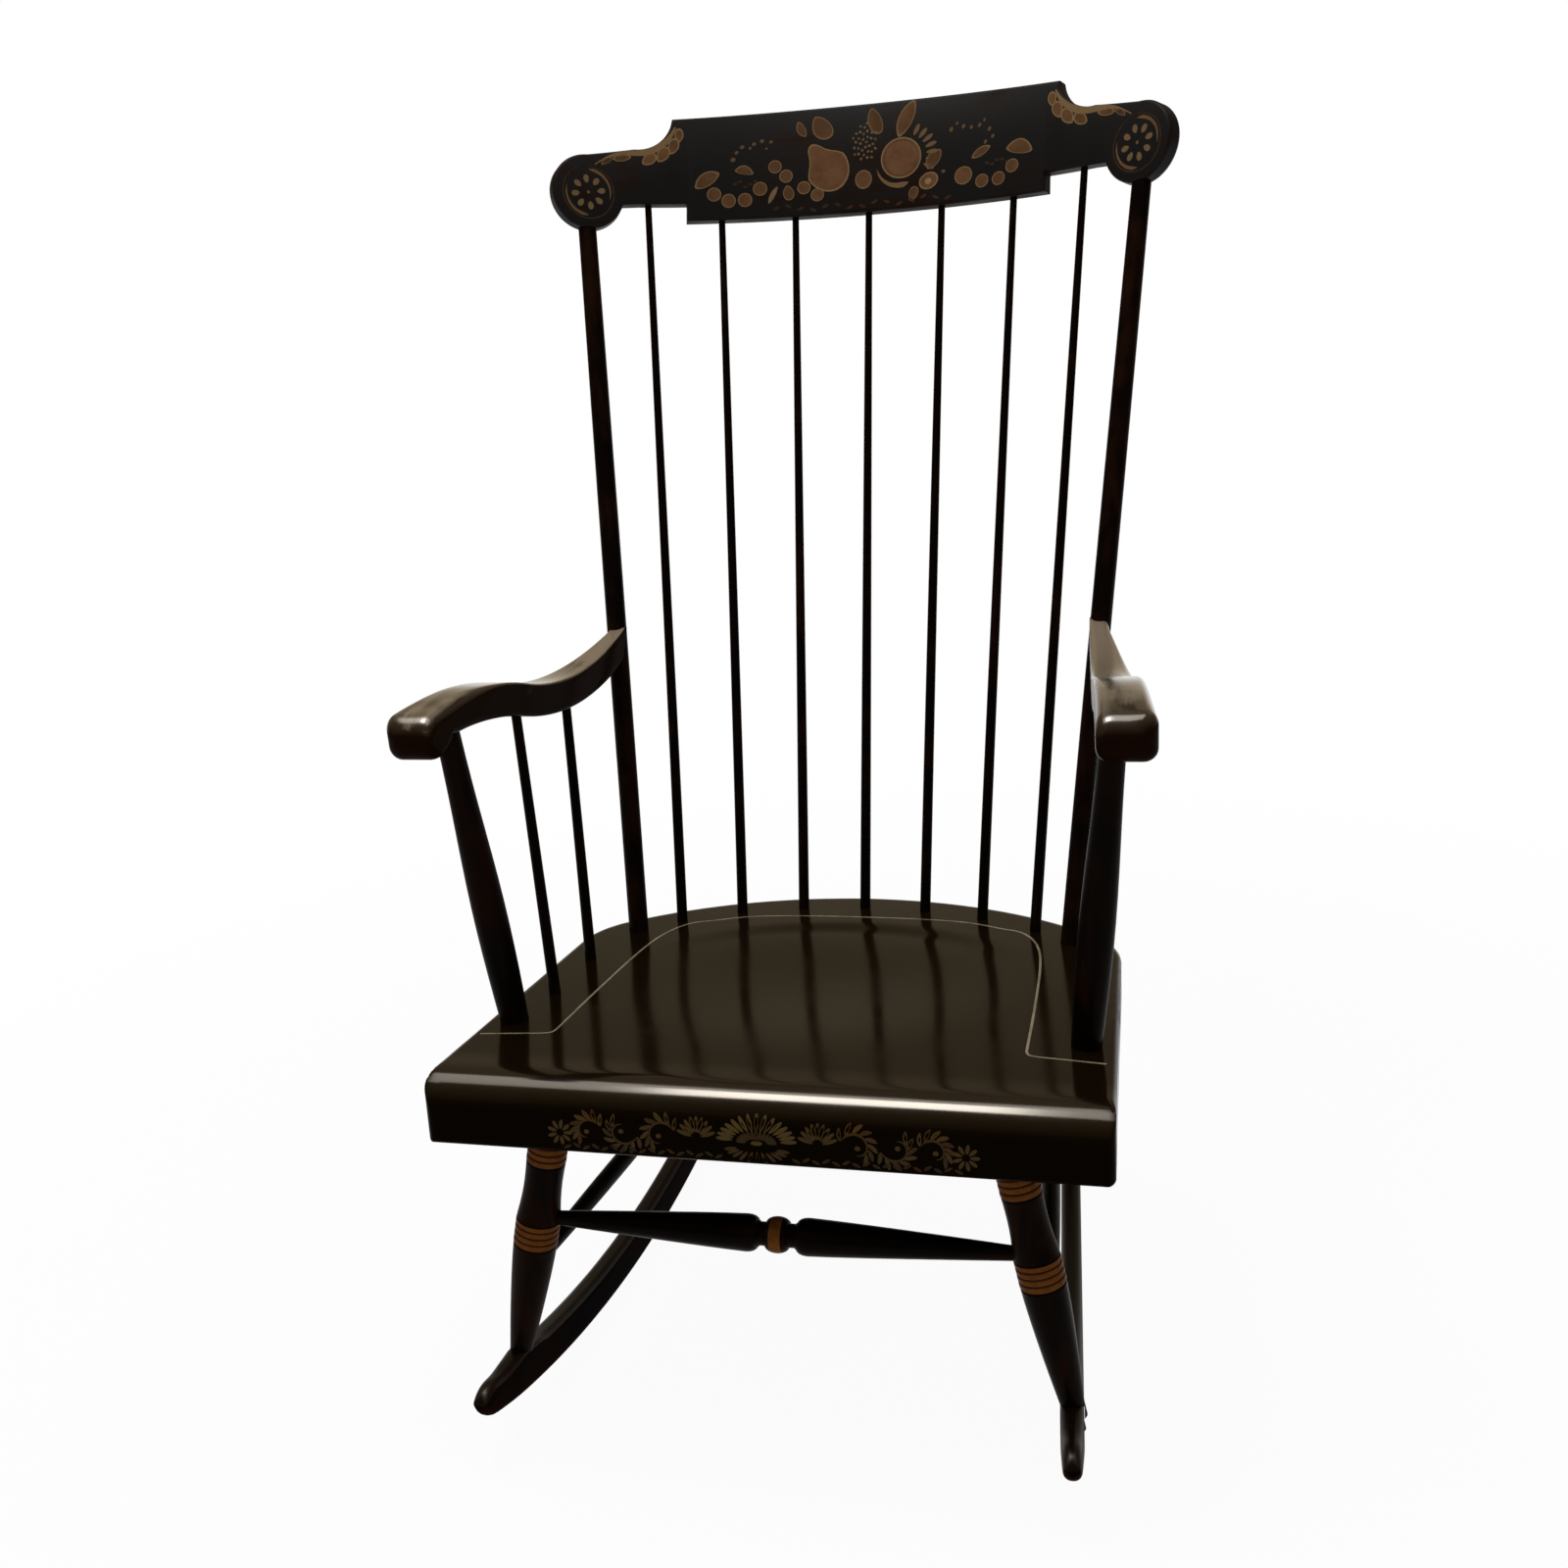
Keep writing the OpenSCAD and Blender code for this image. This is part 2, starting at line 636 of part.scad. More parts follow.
module arm() {
    difference() {
        union() {
            difference() {
                intersection() {
                    translate([arm_o[0] - far / 2, arm_y0, arm_o[2]])
                    rotate([90, 0, 90])
                    linear_extrude(far)
                    arm_side();
                    translate([arm_o[0], arm_y0, arm_o[2] - far / 2])
                    linear_extrude(far)
                    arm_plan();
                }
                bar(post_foot, post_head, post_r_arm + skin + fit);
                translate(arm_o)
                rotate([-atan2(post_dir[1], post_dir[2]), 0, 0])
                translate([-far / 2, 0, -far / 2])
                cube(far);
            }
            translate([arm_o[0], arm_y0 - lap / 2, arm_o[2]])
            rotate([-90, 0, 0])
            cylinder(d = back_tenon_d, h = back_tenon + lap / 2);
        }
        bar(arm_post_foot, arm_post_head, arm_post_d3 / 2 + fit, -arm_up / 2, arm_sink + fit);
        bar(arm_post_foot, arm_post_head, arm_tenon_d / 2 + fit, -arm_up / 2, arm_tenon + 1);
        for (i = [0, 1])
            bar(arm_spin_foot[i], arm_spin_head[i], arm_spin_d2 / 2 + fit, -arm_up / 2, arm_tenon);
        arm_screw(fit);
    }
}

// Arm posts swell below their middle, and arm spindles taper evenly
arm_post_radii = [for (i = [0:12]) let (t = i / 12)
    (t < arm_swell_t
        ? arm_post_d1 + (arm_post_d2 - arm_post_d1) * sin(90 * t / arm_swell_t)
        : arm_post_d3 + (arm_post_d2 - arm_post_d3)
            * (1 + cos(180 * (t - arm_swell_t) / (1 - arm_swell_t))) / 2) / 2];
arm_spin_radii = [for (i = [0:6]) let (t = i / 6)
    (arm_spin_d1 + (arm_spin_d2 - arm_spin_d1) * t) / 2];

module arm_post() {
    turned(arm_post_foot, arm_post_head, sink, arm_sink, arm_post_radii);
    bar(arm_post_head, arm_post_foot, arm_tenon_d / 2, -lap, seat_tenon);
    bar(arm_post_foot, arm_post_head, arm_tenon_d / 2, -lap, arm_tenon);
}

module arm_spindle(i) {
    turned(arm_spin_foot[i], arm_spin_head[i], seat_tenon / 2 - 1, arm_tenon - 1, arm_spin_radii);
}

// Legs: plain neck, four rings, waist, four rings, then a taper to the rocker
rings_w = 4 * ring_w + 3 * groove_w;
function ring_steps(r, z) = [for (i = [0:3]) let (a = z + i * (ring_w + groove_w))
    each concat([[r - 0.5, a], [r, a + 0.7], [r, a + ring_w - 0.7], [r - 0.5, a + ring_w]],
        i < 3 ? [[r - groove_d, a + ring_w + 0.2], [r - groove_d, a + ring_w + groove_w - 0.2]] : [])];
function leg_profile(l) = concat(
    [[0, -sink], [leg_d1 / 2, -sink], [leg_d1 / 2, ring_t1 * l - 2],
        [leg_d1 / 2 - groove_d, ring_t1 * l - 1]],
    ring_steps(leg_d1 / 2, ring_t1 * l),
    [[leg_d1 / 2 - groove_d, ring_t1 * l + rings_w + 1]],
    [for (i = [0:6]) [leg_d1 / 2 - skin + (leg_d2 - leg_d1) / 2 * pow(i / 6, 2) - groove_d * sin(30 * i),
        mid(ring_t1 * l + rings_w + 2, ring_t2 * l - 2, i / 6)]],
    [[leg_d2 / 2 - groove_d, ring_t2 * l - 1]],
    ring_steps(leg_d2 / 2, ring_t2 * l),
    [[leg_d2 / 2 - groove_d, ring_t2 * l + rings_w + 1]],
    [for (i = [0:10]) [leg_d2 / 2 - skin - (leg_d2 - leg_d3) / 2 * pow(i / 10, 1.35),
        mid(ring_t2 * l + rings_w + 2, l, i / 10)]],
    [[leg_d3 / 2 - skin, l + rock_h / 3], [0, l + rock_h / 3]]);

module leg(i) {
    difference() {
        union() {
            difference() {
                along(leg_head[i], leg_foot[i])
                rotate_extrude()
                polygon(leg_profile(leg_len[i]));
                rocker_blank(fit);
            }
            bar(leg_head[i], leg_foot[i], foot_tenon_d / 2, -leg_len[i] / 2, foot_tenon);
            bar(leg_foot[i], leg_head[i], leg_tenon_d / 2, -leg_len[i] / 2, seat_tenon);
        }
        rung_sockets();
        rocker_pin(i, fit);
    }
}

// Stretchers
function barrel(d1, d2, n) = [for (i = [0:n]) (d1 + (d2 - d1) * sin(180 * i / n)) / 2];

module rung_sockets() {
    r = end_d / 2 + fit;
    bar([0, front_end[1], front_end[2]], front_end, r, 0, 1);
    bar([0, rear_end[1], rear_end[2]], rear_end, r, 0, 1);
    bar(mid(side_end[0], side_end[1], 0.5), side_end[0], r, 0, 1);
    bar(mid(side_end[0], side_end[1], 0.5), side_end[1], r, 0, 1);
}

module plain_stretcher(p, q) {
    turned(mid(p, q, 0.04), mid(q, p, 0.04), norm(q - p) * 0.04, norm(q - p) * 0.04,
        barrel(end_d, plain_d, 14));
}

module front_stretcher() {
    half = front_end[0];
    collar_r = neck_d / 2 + 1;
    tip = half - leg_d1 / 2 - 2;
    outer = [for (i = [0:10]) let (t = i / 10)
        [front_d / 2 - (front_d - end_d) / 2 * pow(t, 1.15), mid(swell_x, tip, t)]];
    side = concat(
        [for (i = [0:6]) let (a = 15 * i) [neck_d / 2 + (bead_d - neck_d) / 2 * cos(a), bead_w * sin(a)]],
        [[neck_d / 2, neck_x], [collar_r, neck_x + 1]],
        [for (i = [0:4]) let (a = 22.5 * i)
            [collar_r + skin + (front_d / 2 - collar_r - skin) * sin(a),
                mid(neck_x + 2, swell_x - 1, 1 - cos(a))]],
        outer, [[end_d / 2, half]]);
    color(black)
    translate([0, front_end[1], front_end[2]])
    rotate([0, 90, 0])
    for (s = [0, 1])
        mirror([0, 0, s])
        rotate_extrude()
        polygon(concat([[0, 0]], side, [[0, half]]));
}

module rear_stretcher() {
    color(black)
    plain_stretcher(flip(rear_end), rear_end);
}

module side_stretcher() {
    plain_stretcher(side_end[0], side_end[1]);
}

// Rockers
module round_bar(r1, r2, w, e) {
    translate([r1 + e, -w / 2])
    square([r2 - r1 - 2 * e, w]);
    translate([r1, -w / 2 + e])
    square([r2 - r1, w - 2 * e]);
    for (x = [r1 + e, r2 - e], y = [-w / 2 + e, w / 2 - e])
        translate([x, y])
        circle(e, $fn = 32);
}

module rocker_nose_cut(g) {
    translate([0, -over / 2])
    square([far, rock_h + over]);
    difference() {
        translate([-nose_r1, rock_h - nose_r1])
        square([nose_r1 + 1, nose_r1 + 1 + g]);
        translate([-nose_r1, rock_h - nose_r1])
        circle(nose_r1 + g, $fn = 96);
    }
    difference() {
        translate([-nose_r2, -1 - g])
        square([nose_r2 + 1, nose_r2 + 1 + g]);
        translate([-nose_r2, nose_r2])
        circle(nose_r2 + g, $fn = 64);
    }
}

module rocker_blank(g = 0) {
    a1 = asin(rock_front / (rock_r - rock_h / 2));
    a2 = asin(rock_rear / (rock_r - rock_h / 2));
    spare = 2;
    translate([rock_x, rock_y, 0])
    rotate([0, 0, rock_toe])
    difference() {
        translate([0, 0, rock_r])
        rotate([0, 90, 0])
        rotate([0, 0, -a1 - spare])
        rotate_extrude(angle = a1 + a2 + 2 * spare, $fn = 720)
        round_bar(rock_r - rock_h - g, rock_r + g, rock_w + 2 * g, rock_edge);
        rocker_end_cut(a2, 1, g);
        rocker_end_cut(a1, -1, g);
    }
}

module rocker_end_cut(a, s, g) {
    translate([-over, 0, rock_r])
    rotate([s * a, 0, 0])
    translate([0, 0, -rock_r])
    rotate([90, 0, 90])
    linear_extrude(2 * over)
    mirror([s < 0 ? 1 : 0, 0])
    translate([g, 0])
    rocker_nose_cut(g);
}

module rocker_pin(i, g = 0) {
    p = unit(leg_foot[i] - leg_head[i]) * foot_tenon * 0.55;
    // The leg splays, so its tenon leaves the rocker's middle by this much
    off = p[0] * cos(rock_toe) + p[1] * sin(rock_toe);
    l = rock_w + (g > 0 ? lap : -2 * skin);
    translate(leg_foot[i] + p)
    rotate([0, 0, rock_toe])
    rotate([0, 90, 0])
    translate([0, 0, -l / 2 - off])
    cylinder(d = pin_d + 2 * g, h = l);
}

module rocker() {
    difference() {
        rocker_blank();
        for (i = [0, 1]) {
            bar(leg_head[i], leg_foot[i], foot_tenon_d / 2 + fit, -leg_len[i] / 2, foot_tenon + 1);
            rocker_pin(i, fit);
        }
    }
}

// One side made from the other
module right_side() {
    mirror([1, 0, 0])
    children();
}

module rocker_pins() {
    color(brown)
    for (i = [0, 1]) {
        rocker_pin(i);
        right_side()
        rocker_pin(i);
    }
}

module crest_pins() {
    color(brown)
    for (s = [-1, 1])
        crest_pin(s);
}

module arm_screws() {
    color("#6b6459") {
        arm_screw();
        right_side()
        arm_screw();
    }
}

seat();
crest_rail();
color(brown) back_post();  // left_back_post
color(brown) right_side() back_post();  // right_back_post
spindle(-3);  // back_spindle_1
spindle(-2);  // back_spindle_2
spindle(-1);  // back_spindle_3
spindle(0);  // back_spindle_4
spindle(1);  // back_spindle_5
spindle(2);  // back_spindle_6
spindle(3);  // back_spindle_7
color(worn) arm();  // left_arm
color(worn) right_side() arm();  // right_arm
color(brown) arm_post();  // left_arm_post
color(brown) right_side() arm_post();  // right_arm_post
color(black) arm_spindle(0);  // left_arm_spindle_front
color(black) arm_spindle(1);  // left_arm_spindle_rear
color(black) right_side() arm_spindle(0);  // right_arm_spindle_front
color(black) right_side() arm_spindle(1);  // right_arm_spindle_rear
color(brown) leg(0);  // left_front_leg
color(brown) right_side() leg(0);  // right_front_leg
color(brown) leg(1);  // left_rear_leg
color(brown) right_side() leg(1);  // right_rear_leg
front_stretcher();
rear_stretcher();
color(black) side_stretcher();  // left_side_stretcher
color(black) right_side() side_stretcher();  // right_side_stretcher
color(black) rocker();  // left_rocker
color(black) right_side() rocker();  // right_rocker
rocker_pins();
crest_pins();
arm_screws();
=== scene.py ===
from math import asin, atan2, cos, degrees, hypot, pi, radians, sin, sqrt

import bmesh
import bpy
from bpy.props import FloatProperty, FloatVectorProperty, PointerProperty
from mathutils import Matrix, Vector


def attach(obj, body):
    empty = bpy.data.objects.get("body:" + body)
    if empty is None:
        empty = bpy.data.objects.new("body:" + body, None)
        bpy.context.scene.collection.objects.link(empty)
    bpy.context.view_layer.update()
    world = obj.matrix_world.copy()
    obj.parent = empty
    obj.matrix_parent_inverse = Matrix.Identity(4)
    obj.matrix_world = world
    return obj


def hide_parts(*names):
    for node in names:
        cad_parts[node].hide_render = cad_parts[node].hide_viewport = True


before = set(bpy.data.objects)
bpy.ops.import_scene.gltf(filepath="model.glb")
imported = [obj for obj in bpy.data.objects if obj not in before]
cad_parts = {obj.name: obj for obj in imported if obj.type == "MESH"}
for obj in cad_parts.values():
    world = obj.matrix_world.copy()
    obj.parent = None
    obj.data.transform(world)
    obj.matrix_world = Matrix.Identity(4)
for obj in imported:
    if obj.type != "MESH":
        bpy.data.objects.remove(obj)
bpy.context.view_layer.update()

bl_info = {
    "name": "Plank-seat rocking chair",
    "version": (1, 0, 0),
    "blender": (4, 5, 0),
    "location": "3D View > Sidebar > Rocking Chair",
    "description": "Builds the seat, arms, crest rail, painted ornament and finishes "
                   "of a rocking chair",
    "category": "Object",
}


# Sizes that a user would change
class ChairShapes(bpy.types.PropertyGroup):
    seat_edge: FloatProperty(
        name="Seat edge", description="Rounding of the seat's side and back edges",
        default=0.006, min=0.001, max=0.012, unit="LENGTH")
    hollow_depth: FloatProperty(
        name="Hollow depth", description="Depth of the hollow in the seat",
        default=0.005, min=0.0, max=0.008, unit="LENGTH")
    hollow_slope: FloatProperty(
        name="Hollow rim", description="Width of the steeper rim at the back of the hollow",
        default=0.022, min=0.008, max=0.06, unit="LENGTH")
    arm_edge: FloatProperty(
        name="Arm edge", description="Rounding of the arms' long edges",
        default=0.0055, min=0.001, max=0.008, unit="LENGTH")
    crest_edge: FloatProperty(
        name="Crest edge", description="Rounding of the crest rail's edges",
        default=0.003, min=0.0005, max=0.006, unit="LENGTH")
    rocker_edge: FloatProperty(
        name="Rocker edge", description="Rounding of the rockers' long edges",
        default=0.0065, min=0.001, max=0.008, unit="LENGTH")
    paint_height: FloatProperty(
        name="Paint height", description="How far the stencils stand proud of the lacquer",
        default=0.00012, min=0.00005, max=0.0005, unit="LENGTH")
    stripe_width: FloatProperty(
        name="Stripe width", description="Width of the thin stripe on the seat",
        default=0.0021, min=0.001, max=0.004, unit="LENGTH")


# Colours of the finishes
class ChairFinishes(bpy.types.PropertyGroup):
    lacquer: FloatVectorProperty(
        name="Lacquer", description="Black lacquer on the turned pieces", subtype="COLOR",
        default=(0.0026, 0.0014, 0.0009), min=0, max=1)
    panel: FloatVectorProperty(
        name="Crest lacquer", description="Lacquer on the crest rail", subtype="COLOR",
        default=(0.0092, 0.0084, 0.0080), min=0, max=1)
    seat: FloatVectorProperty(
        name="Seat lacquer", description="Aged lacquer on the seat", subtype="COLOR",
        default=(0.0058, 0.0030, 0.0009), min=0, max=1)
    undertone: FloatVectorProperty(
        name="Undertone", description="Red-brown wood that shows through the lacquer",
        subtype="COLOR",
        default=(0.0105, 0.0034, 0.0013), min=0, max=1)
    arm_lacquer: FloatVectorProperty(
        name="Arm lacquer", description="Thin brown-black lacquer on the arms' sides",
        subtype="COLOR",
        default=(0.0105, 0.0040, 0.0016), min=0, max=1)
    # Partly rubbed wood and partly a painted sheen: this light colour is laid on the arms'
    # upward-facing tops, more towards the rear
    arm_wood_and_sheen: FloatVectorProperty(
        name="Arm wood and sheen", description="Rubbed wood on top of the arms", subtype="COLOR",
        default=(0.185, 0.142, 0.098), min=0, max=1)
    gilt: FloatVectorProperty(
        name="Bronze", description="Bronze powder of the stencils", subtype="COLOR",
        default=(0.100, 0.0455, 0.0185), min=0, max=1)
    gilt_rim: FloatVectorProperty(
        name="Bronze rim", description="Brighter rim of the stencils", subtype="COLOR",
        default=(0.205, 0.128, 0.060), min=0, max=1)
    seat_gilt: FloatVectorProperty(
        name="Seat bronze", description="Duller bronze powder of the seat's stencils",
        subtype="COLOR",
        default=(0.054, 0.034, 0.010), min=0, max=1)
    ring_gold: FloatVectorProperty(
        name="Ring gold", description="Gold paint on the turned rings", subtype="COLOR",
        default=(0.165, 0.056, 0.011), min=0, max=1)
    stripe: FloatVectorProperty(
        name="Stripe", description="Pale yellow of the thin stripe", subtype="COLOR",
        default=(0.26, 0.22, 0.14), min=0, max=1)


# Studio
class StudioStage(bpy.types.PropertyGroup):
    floor: FloatVectorProperty(
        name="Floor", description="Colour of the floor", subtype="COLOR",
        default=(0.8, 0.8, 0.8), min=0, max=1)
    key_power: FloatProperty(
        name="Key lamp", description="Power of the soft lamp above the chair",
        default=33.0, min=0, subtype="POWER")
    fill_power: FloatProperty(
        name="Fill lamp", description="Power of the wide lamp above the chair",
        default=34.0, min=0, subtype="POWER")
    sky: FloatProperty(
        name="Surround light", description="Strength of the plain light from all sides",
        default=0.32, min=0)
    ceiling: FloatProperty(
        name="Ceiling", description="Brightness of the ceiling that reflections show",
        default=0.22, min=0, max=1)
    ceiling_colour: FloatVectorProperty(
        name="Ceiling colour", description="Warm colour of that ceiling", subtype="COLOR",
        default=(1.0, 0.79, 0.50), min=0, max=1)


# Sizes of the frame, in metres
TILT, CREST_LEAN, BACK_LEAN = radians(4.5), radians(17), radians(17.9)
SEAT_Y, SEAT_Z, SEAT_THICK, ROLL_H = -0.3302, 0.338, 0.042, 0.056
ROLL_L, ROLL_R, ROLL_FOOT_R, ROLL_STEP = 0.050, 0.034, 0.006, ROLL_H - SEAT_THICK
SEAT_HALF, SEAT_TAPER = 0.268, 0.010
SEAT_FRONT_R, SEAT_CORNER_R, SEAT_BACK_R = 0.012, 0.090, 0.331
SEAT_ROW, SEAT_LONG, SPINDLE_ROW_R = 0.154, 0.485, 0.298
HOLLOW_R, HOLLOW_V, HOLLOW_BACK, HOLLOW_FRONT = 0.190, 0.262, 0.142, 0.185
BACK_LONG, POST_THICK, POST_TAPER = 0.693, 0.019, 0.0014
CREST_R, CREST_T = 0.482, 0.016
CREST_AXIS = CREST_R + CREST_T / 2
EAR_S, EAR_H, EAR_R = 0.279, 0.016, 0.036
PANEL_X, PANEL_H, PANEL_DROP = 0.1935, 0.1055, 0.012
PANEL_FOOT_X, PANEL_FOOT_DROP, PANEL_STEP = 0.1795, 0.006, 0.017
SHOULDER_L, SHOULDER_DROP = 0.044, 0.003
COVE_R, COVE_LIFT = 0.035, 0.003
COVE_START = 180 + degrees(asin(COVE_LIFT / COVE_R))
ARM_UP, ARM_T, ARM_W = 0.283, 0.029, 0.017
DIP_Y, DIP_R, TOP_Y, ARM_RISE = 0.098, 0.327, 0.316, 0.035
SCROLL_R, SCROLL_Y, ARM_OUT, ARM_IN, ARM_BULGE = 0.019, 0.036, 0.061, 0.017, 0.007
ARM_CORNER_OUT, ARM_CORNER_IN = 0.018, 0.005
ROCK_X, ROCK_Y, ROCK_R, ROCK_H = 0.2145, SEAT_Y + 0.2608, 0.950, 0.036
ROCK_TOE, ROCK_FRONT, ROCK_REAR = radians(4.3), 0.300, 0.412

# Finer sizes of the new pieces: the flat blank, then the rocker's half width, how much
# slimmer and lower its ends are, the length of a rounded end, and the feet along its arc
BLANK_T = 0.01
ROCK_HALF, ROCK_SLIM, NOSE_H, TAIL_H, ROCK_END = 0.0093, 0.002, 0.029, 0.032, 0.022
FEET, FOOT_REACH = (-0.231, 0.187), 0.026
SIDES = (("left", 1), ("right", -1))


# Places on the frame
def deck(x, v, w=0.0):
    """A place on the tilted seat, v behind its front edge and w above its top"""
    return Vector((x, SEAT_Y + v * cos(TILT) + w * sin(TILT),
                   SEAT_Z - v * sin(TILT) + w * cos(TILT)))


def seat_row(angle):
    """A place on the curved row of posts and spindles"""
    return deck(SPINDLE_ROW_R * cos(angle), SEAT_ROW + SPINDLE_ROW_R * sin(angle))


CREST_O = seat_row(pi / 2) + BACK_LONG * Vector((0, sin(BACK_LEAN), cos(BACK_LEAN)))


def crest_point(s, h, depth):
    """A place on the bent crest rail, s along it, h up and depth behind its front"""
    r, a = CREST_R + depth, s / CREST_R
    y = r * cos(a) - CREST_AXIS
    return Vector((r * sin(a),
                   CREST_O.y + y * cos(CREST_LEAN) + h * sin(CREST_LEAN),
                   CREST_O.z - y * sin(CREST_LEAN) + h * cos(CREST_LEAN)))


POST_FOOT = seat_row(radians(45))
POST_HEAD = crest_point(EAR_S, EAR_H - EAR_R, CREST_T / 2)
POST_DIR = (POST_HEAD - POST_FOOT).normalized()
ARM_O = POST_FOOT + POST_DIR * ARM_UP
POST_R = (POST_THICK - POST_TAPER * ARM_UP / (POST_HEAD - POST_FOOT).length) / 2
ARM_Y = ARM_O.y - POST_R
DIP_Z = ARM_T / 2 - (DIP_R - sqrt(DIP_R ** 2 - DIP_Y ** 2))
HUMP_R = ((TOP_Y - DIP_Y) ** 2 + (DIP_R - ARM_RISE) ** 2 - DIP_R ** 2) / (2 * ARM_RISE)
DIP_C = Vector((-DIP_Y, DIP_Z + DIP_R))
HUMP_C = Vector((-TOP_Y, DIP_Z + ARM_RISE - HUMP_R))
SCROLL_A = asin(SCROLL_Y / (HUMP_R - SCROLL_R))
SCROLL_C = HUMP_C + (HUMP_R - SCROLL_R) * Vector((-sin(SCROLL_A), cos(SCROLL_A)))
ARM_END = SCROLL_C.x - SCROLL_R
SCROLL_TOP = SCROLL_C.x - SCROLL_R * sin(SCROLL_A)


def rocker_place(q):
    """The middle of the left rocker's top, q behind its lowest point"""
    z = ROCK_R - sqrt((ROCK_R - ROCK_H) ** 2 - q * q)
    return Vector((ROCK_X - q * sin(ROCK_TOE), ROCK_Y + q * cos(ROCK_TOE), z))


LEG_ENDS = {"front": (deck(0.183, 0.064, -SEAT_THICK), rocker_place(-0.226)),
            "rear": (deck(0.150, 0.392, -SEAT_THICK), rocker_place(0.182))}
RING_PITCH, RING_BAND = 0.0058, 0.0044
LEG_RINGS = (0.14, 0.465)


# Plain geometry in the plane of a blank
def arc(cx, cy, r, a1, a2, n):
    turn = [radians(a1 + (a2 - a1) * i / n) for i in range(n + 1)]
    return [(cx + r * cos(a), cy + r * sin(a)) for a in turn]


def from_edge(outline, x, y):
    best = 1e9
    for (ax, ay), (bx, by) in zip(outline, outline[1:] + outline[:1]):
        dx, dy = bx - ax, by - ay
        t = max(0.0, min(1.0, ((x - ax) * dx + (y - ay) * dy) / (dx * dx + dy * dy + 1e-18)))
        best = min(best, hypot(x - ax - t * dx, y - ay - t * dy))
    return best


def rounding(d, r):
    return 0.0 if d >= r else r - sqrt(max(0.0, r * r - (r - d) ** 2))


def part_of(value, start, end):
    """How far a value lies on its way between two others, from 0 to 1"""
    return max(0.0, min(1.0, (value - start) / (end - start)))


def eased(t):
    return t * t * (3 - 2 * t)


def smooth_path(points, rounds):
    for _ in range(rounds):
        new = [points[0]]
        for a, b in zip(points, points[1:]):
            new += [tuple(p * (1 - k) + q * k for p, q in zip(a, b)) for k in (0.25, 0.75)]
        points = new + [points[-1]]
    return points


# Blanks: an outline is cut across, given rings along its edge, thickened and then shaped
def cut_blank(outline, ring_steps, rows=(), columns=()):
    bm = bmesh.new()
    face = bm.faces.new([bm.verts.new((x, y, 0)) for x, y in outline])
    for step in ring_steps:
        bmesh.ops.inset_individual(bm, faces=[face], thickness=step, use_even_offset=True)
    for axis, places in ((Vector((0, 1, 0)), rows), (Vector((1, 0, 0)), columns)):
        for place in places:
            bmesh.ops.bisect_plane(bm, geom=bm.verts[:] + bm.edges[:] + bm.faces[:], dist=1e-6,
                                   plane_co=axis * place, plane_no=axis)
    return bm


def thicken(bm):
    made = bmesh.ops.extrude_face_region(bm, geom=bm.faces[:])
    lower = [g for g in made["geom"] if isinstance(g, bmesh.types.BMVert)]
    bmesh.ops.translate(bm, verts=lower, vec=(0, 0, -BLANK_T))


def section(x0, x1, z0, z1, radii):
    """Rounded rectangle from its corner at +x +z on, as x, z and closeness to an edge"""
    points = []
    for i, ((sx, sz), r) in enumerate(zip(((1, 1), (-1, 1), (-1, -1), (1, -1)), radii)):
        r = min(r, (x1 - x0) * 0.46, (z1 - z0) * 0.48)
        cx, cz = (x1 - r if sx > 0 else x0 + r), (z1 - r if sz > 0 else z0 + r)
        points += [(x, z, sin(radians(22.5 + 22.5 * k)))
                   for k, (x, z) in enumerate(arc(cx, cz, r, 90 * i, 90 * i + 90, 6))]
    full = []
    for a, b in zip(points, points[1:] + points[:1]):
        full.append(a)
        flat = a[2] < 0.4 and b[2] < 0.4 and hypot(b[0] - a[0], b[1] - a[1]) > 0.0001
        if flat or a is points[-1]:
            full += [(a[0] + (b[0] - a[0]) * k, a[1] + (b[1] - a[1]) * k, 0.0)
                     for k in (0.25, 0.5, 0.75)]
    return full


def loft(rings, spread):
    """Closed piece whose cap is pulled from ring to ring; spread places a ring's point"""
    bm = bmesh.new()
    order = bm.verts.layers.int.new("order")
    rim, gloss = bm.verts.layers.float.new("rim"), bm.verts.layers.float.new("gloss")
    made = bmesh.ops.create_circle(bm, cap_ends=True, segments=len(rings[0][1]), radius=1.0)
    for i, v in enumerate(made["verts"]):
        v[order] = i
    face = made["verts"][0].link_faces[0]
    for k, (along, points) in enumerate(rings):
        if k:
            made = bmesh.ops.extrude_face_region(bm, geom=[face, *face.edges])["geom"]
            fresh = {g for g in made if isinstance(g, bmesh.types.BMVert)}
            face = [g for g in made if isinstance(g, bmesh.types.BMFace)
                    and all(v in fresh for v in g.verts)][0]
        for v in face.verts:
            x, z, edge = points[v[order]]
            v.co = spread(along, x, z)
            v[rim] = edge
    bmesh.ops.recalc_face_normals(bm, faces=bm.faces[:])
    bm.normal_update()
    for v in bm.verts:
        v[gloss] = part_of(v.normal.z, 0.3, 0.8)
    return bm


def steps(start, end, size):
    n = max(1, round((end - start) / size))
    return [start + (end - start) * i / n for i in range(1, n)]


def piece(bm, name, material, sharp=32, replaces=()):
    if any(not e.is_manifold for e in bm.edges):
        raise RuntimeError(f"{name} isn't closed")
    bmesh.ops.recalc_face_normals(bm, faces=bm.faces[:])
    mesh = bpy.data.meshes.new(name)
    bm.to_mesh(mesh)
    bm.free()
    mesh.shade_smooth()
    mesh.set_sharp_from_angle(angle=radians(sharp))
    mesh.materials.append(material)
    obj = bpy.data.objects.new(name, mesh)
    bpy.context.scene.collection.objects.link(obj)
    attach(obj, "root")
    if replaces:
        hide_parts(*replaces)
    return obj


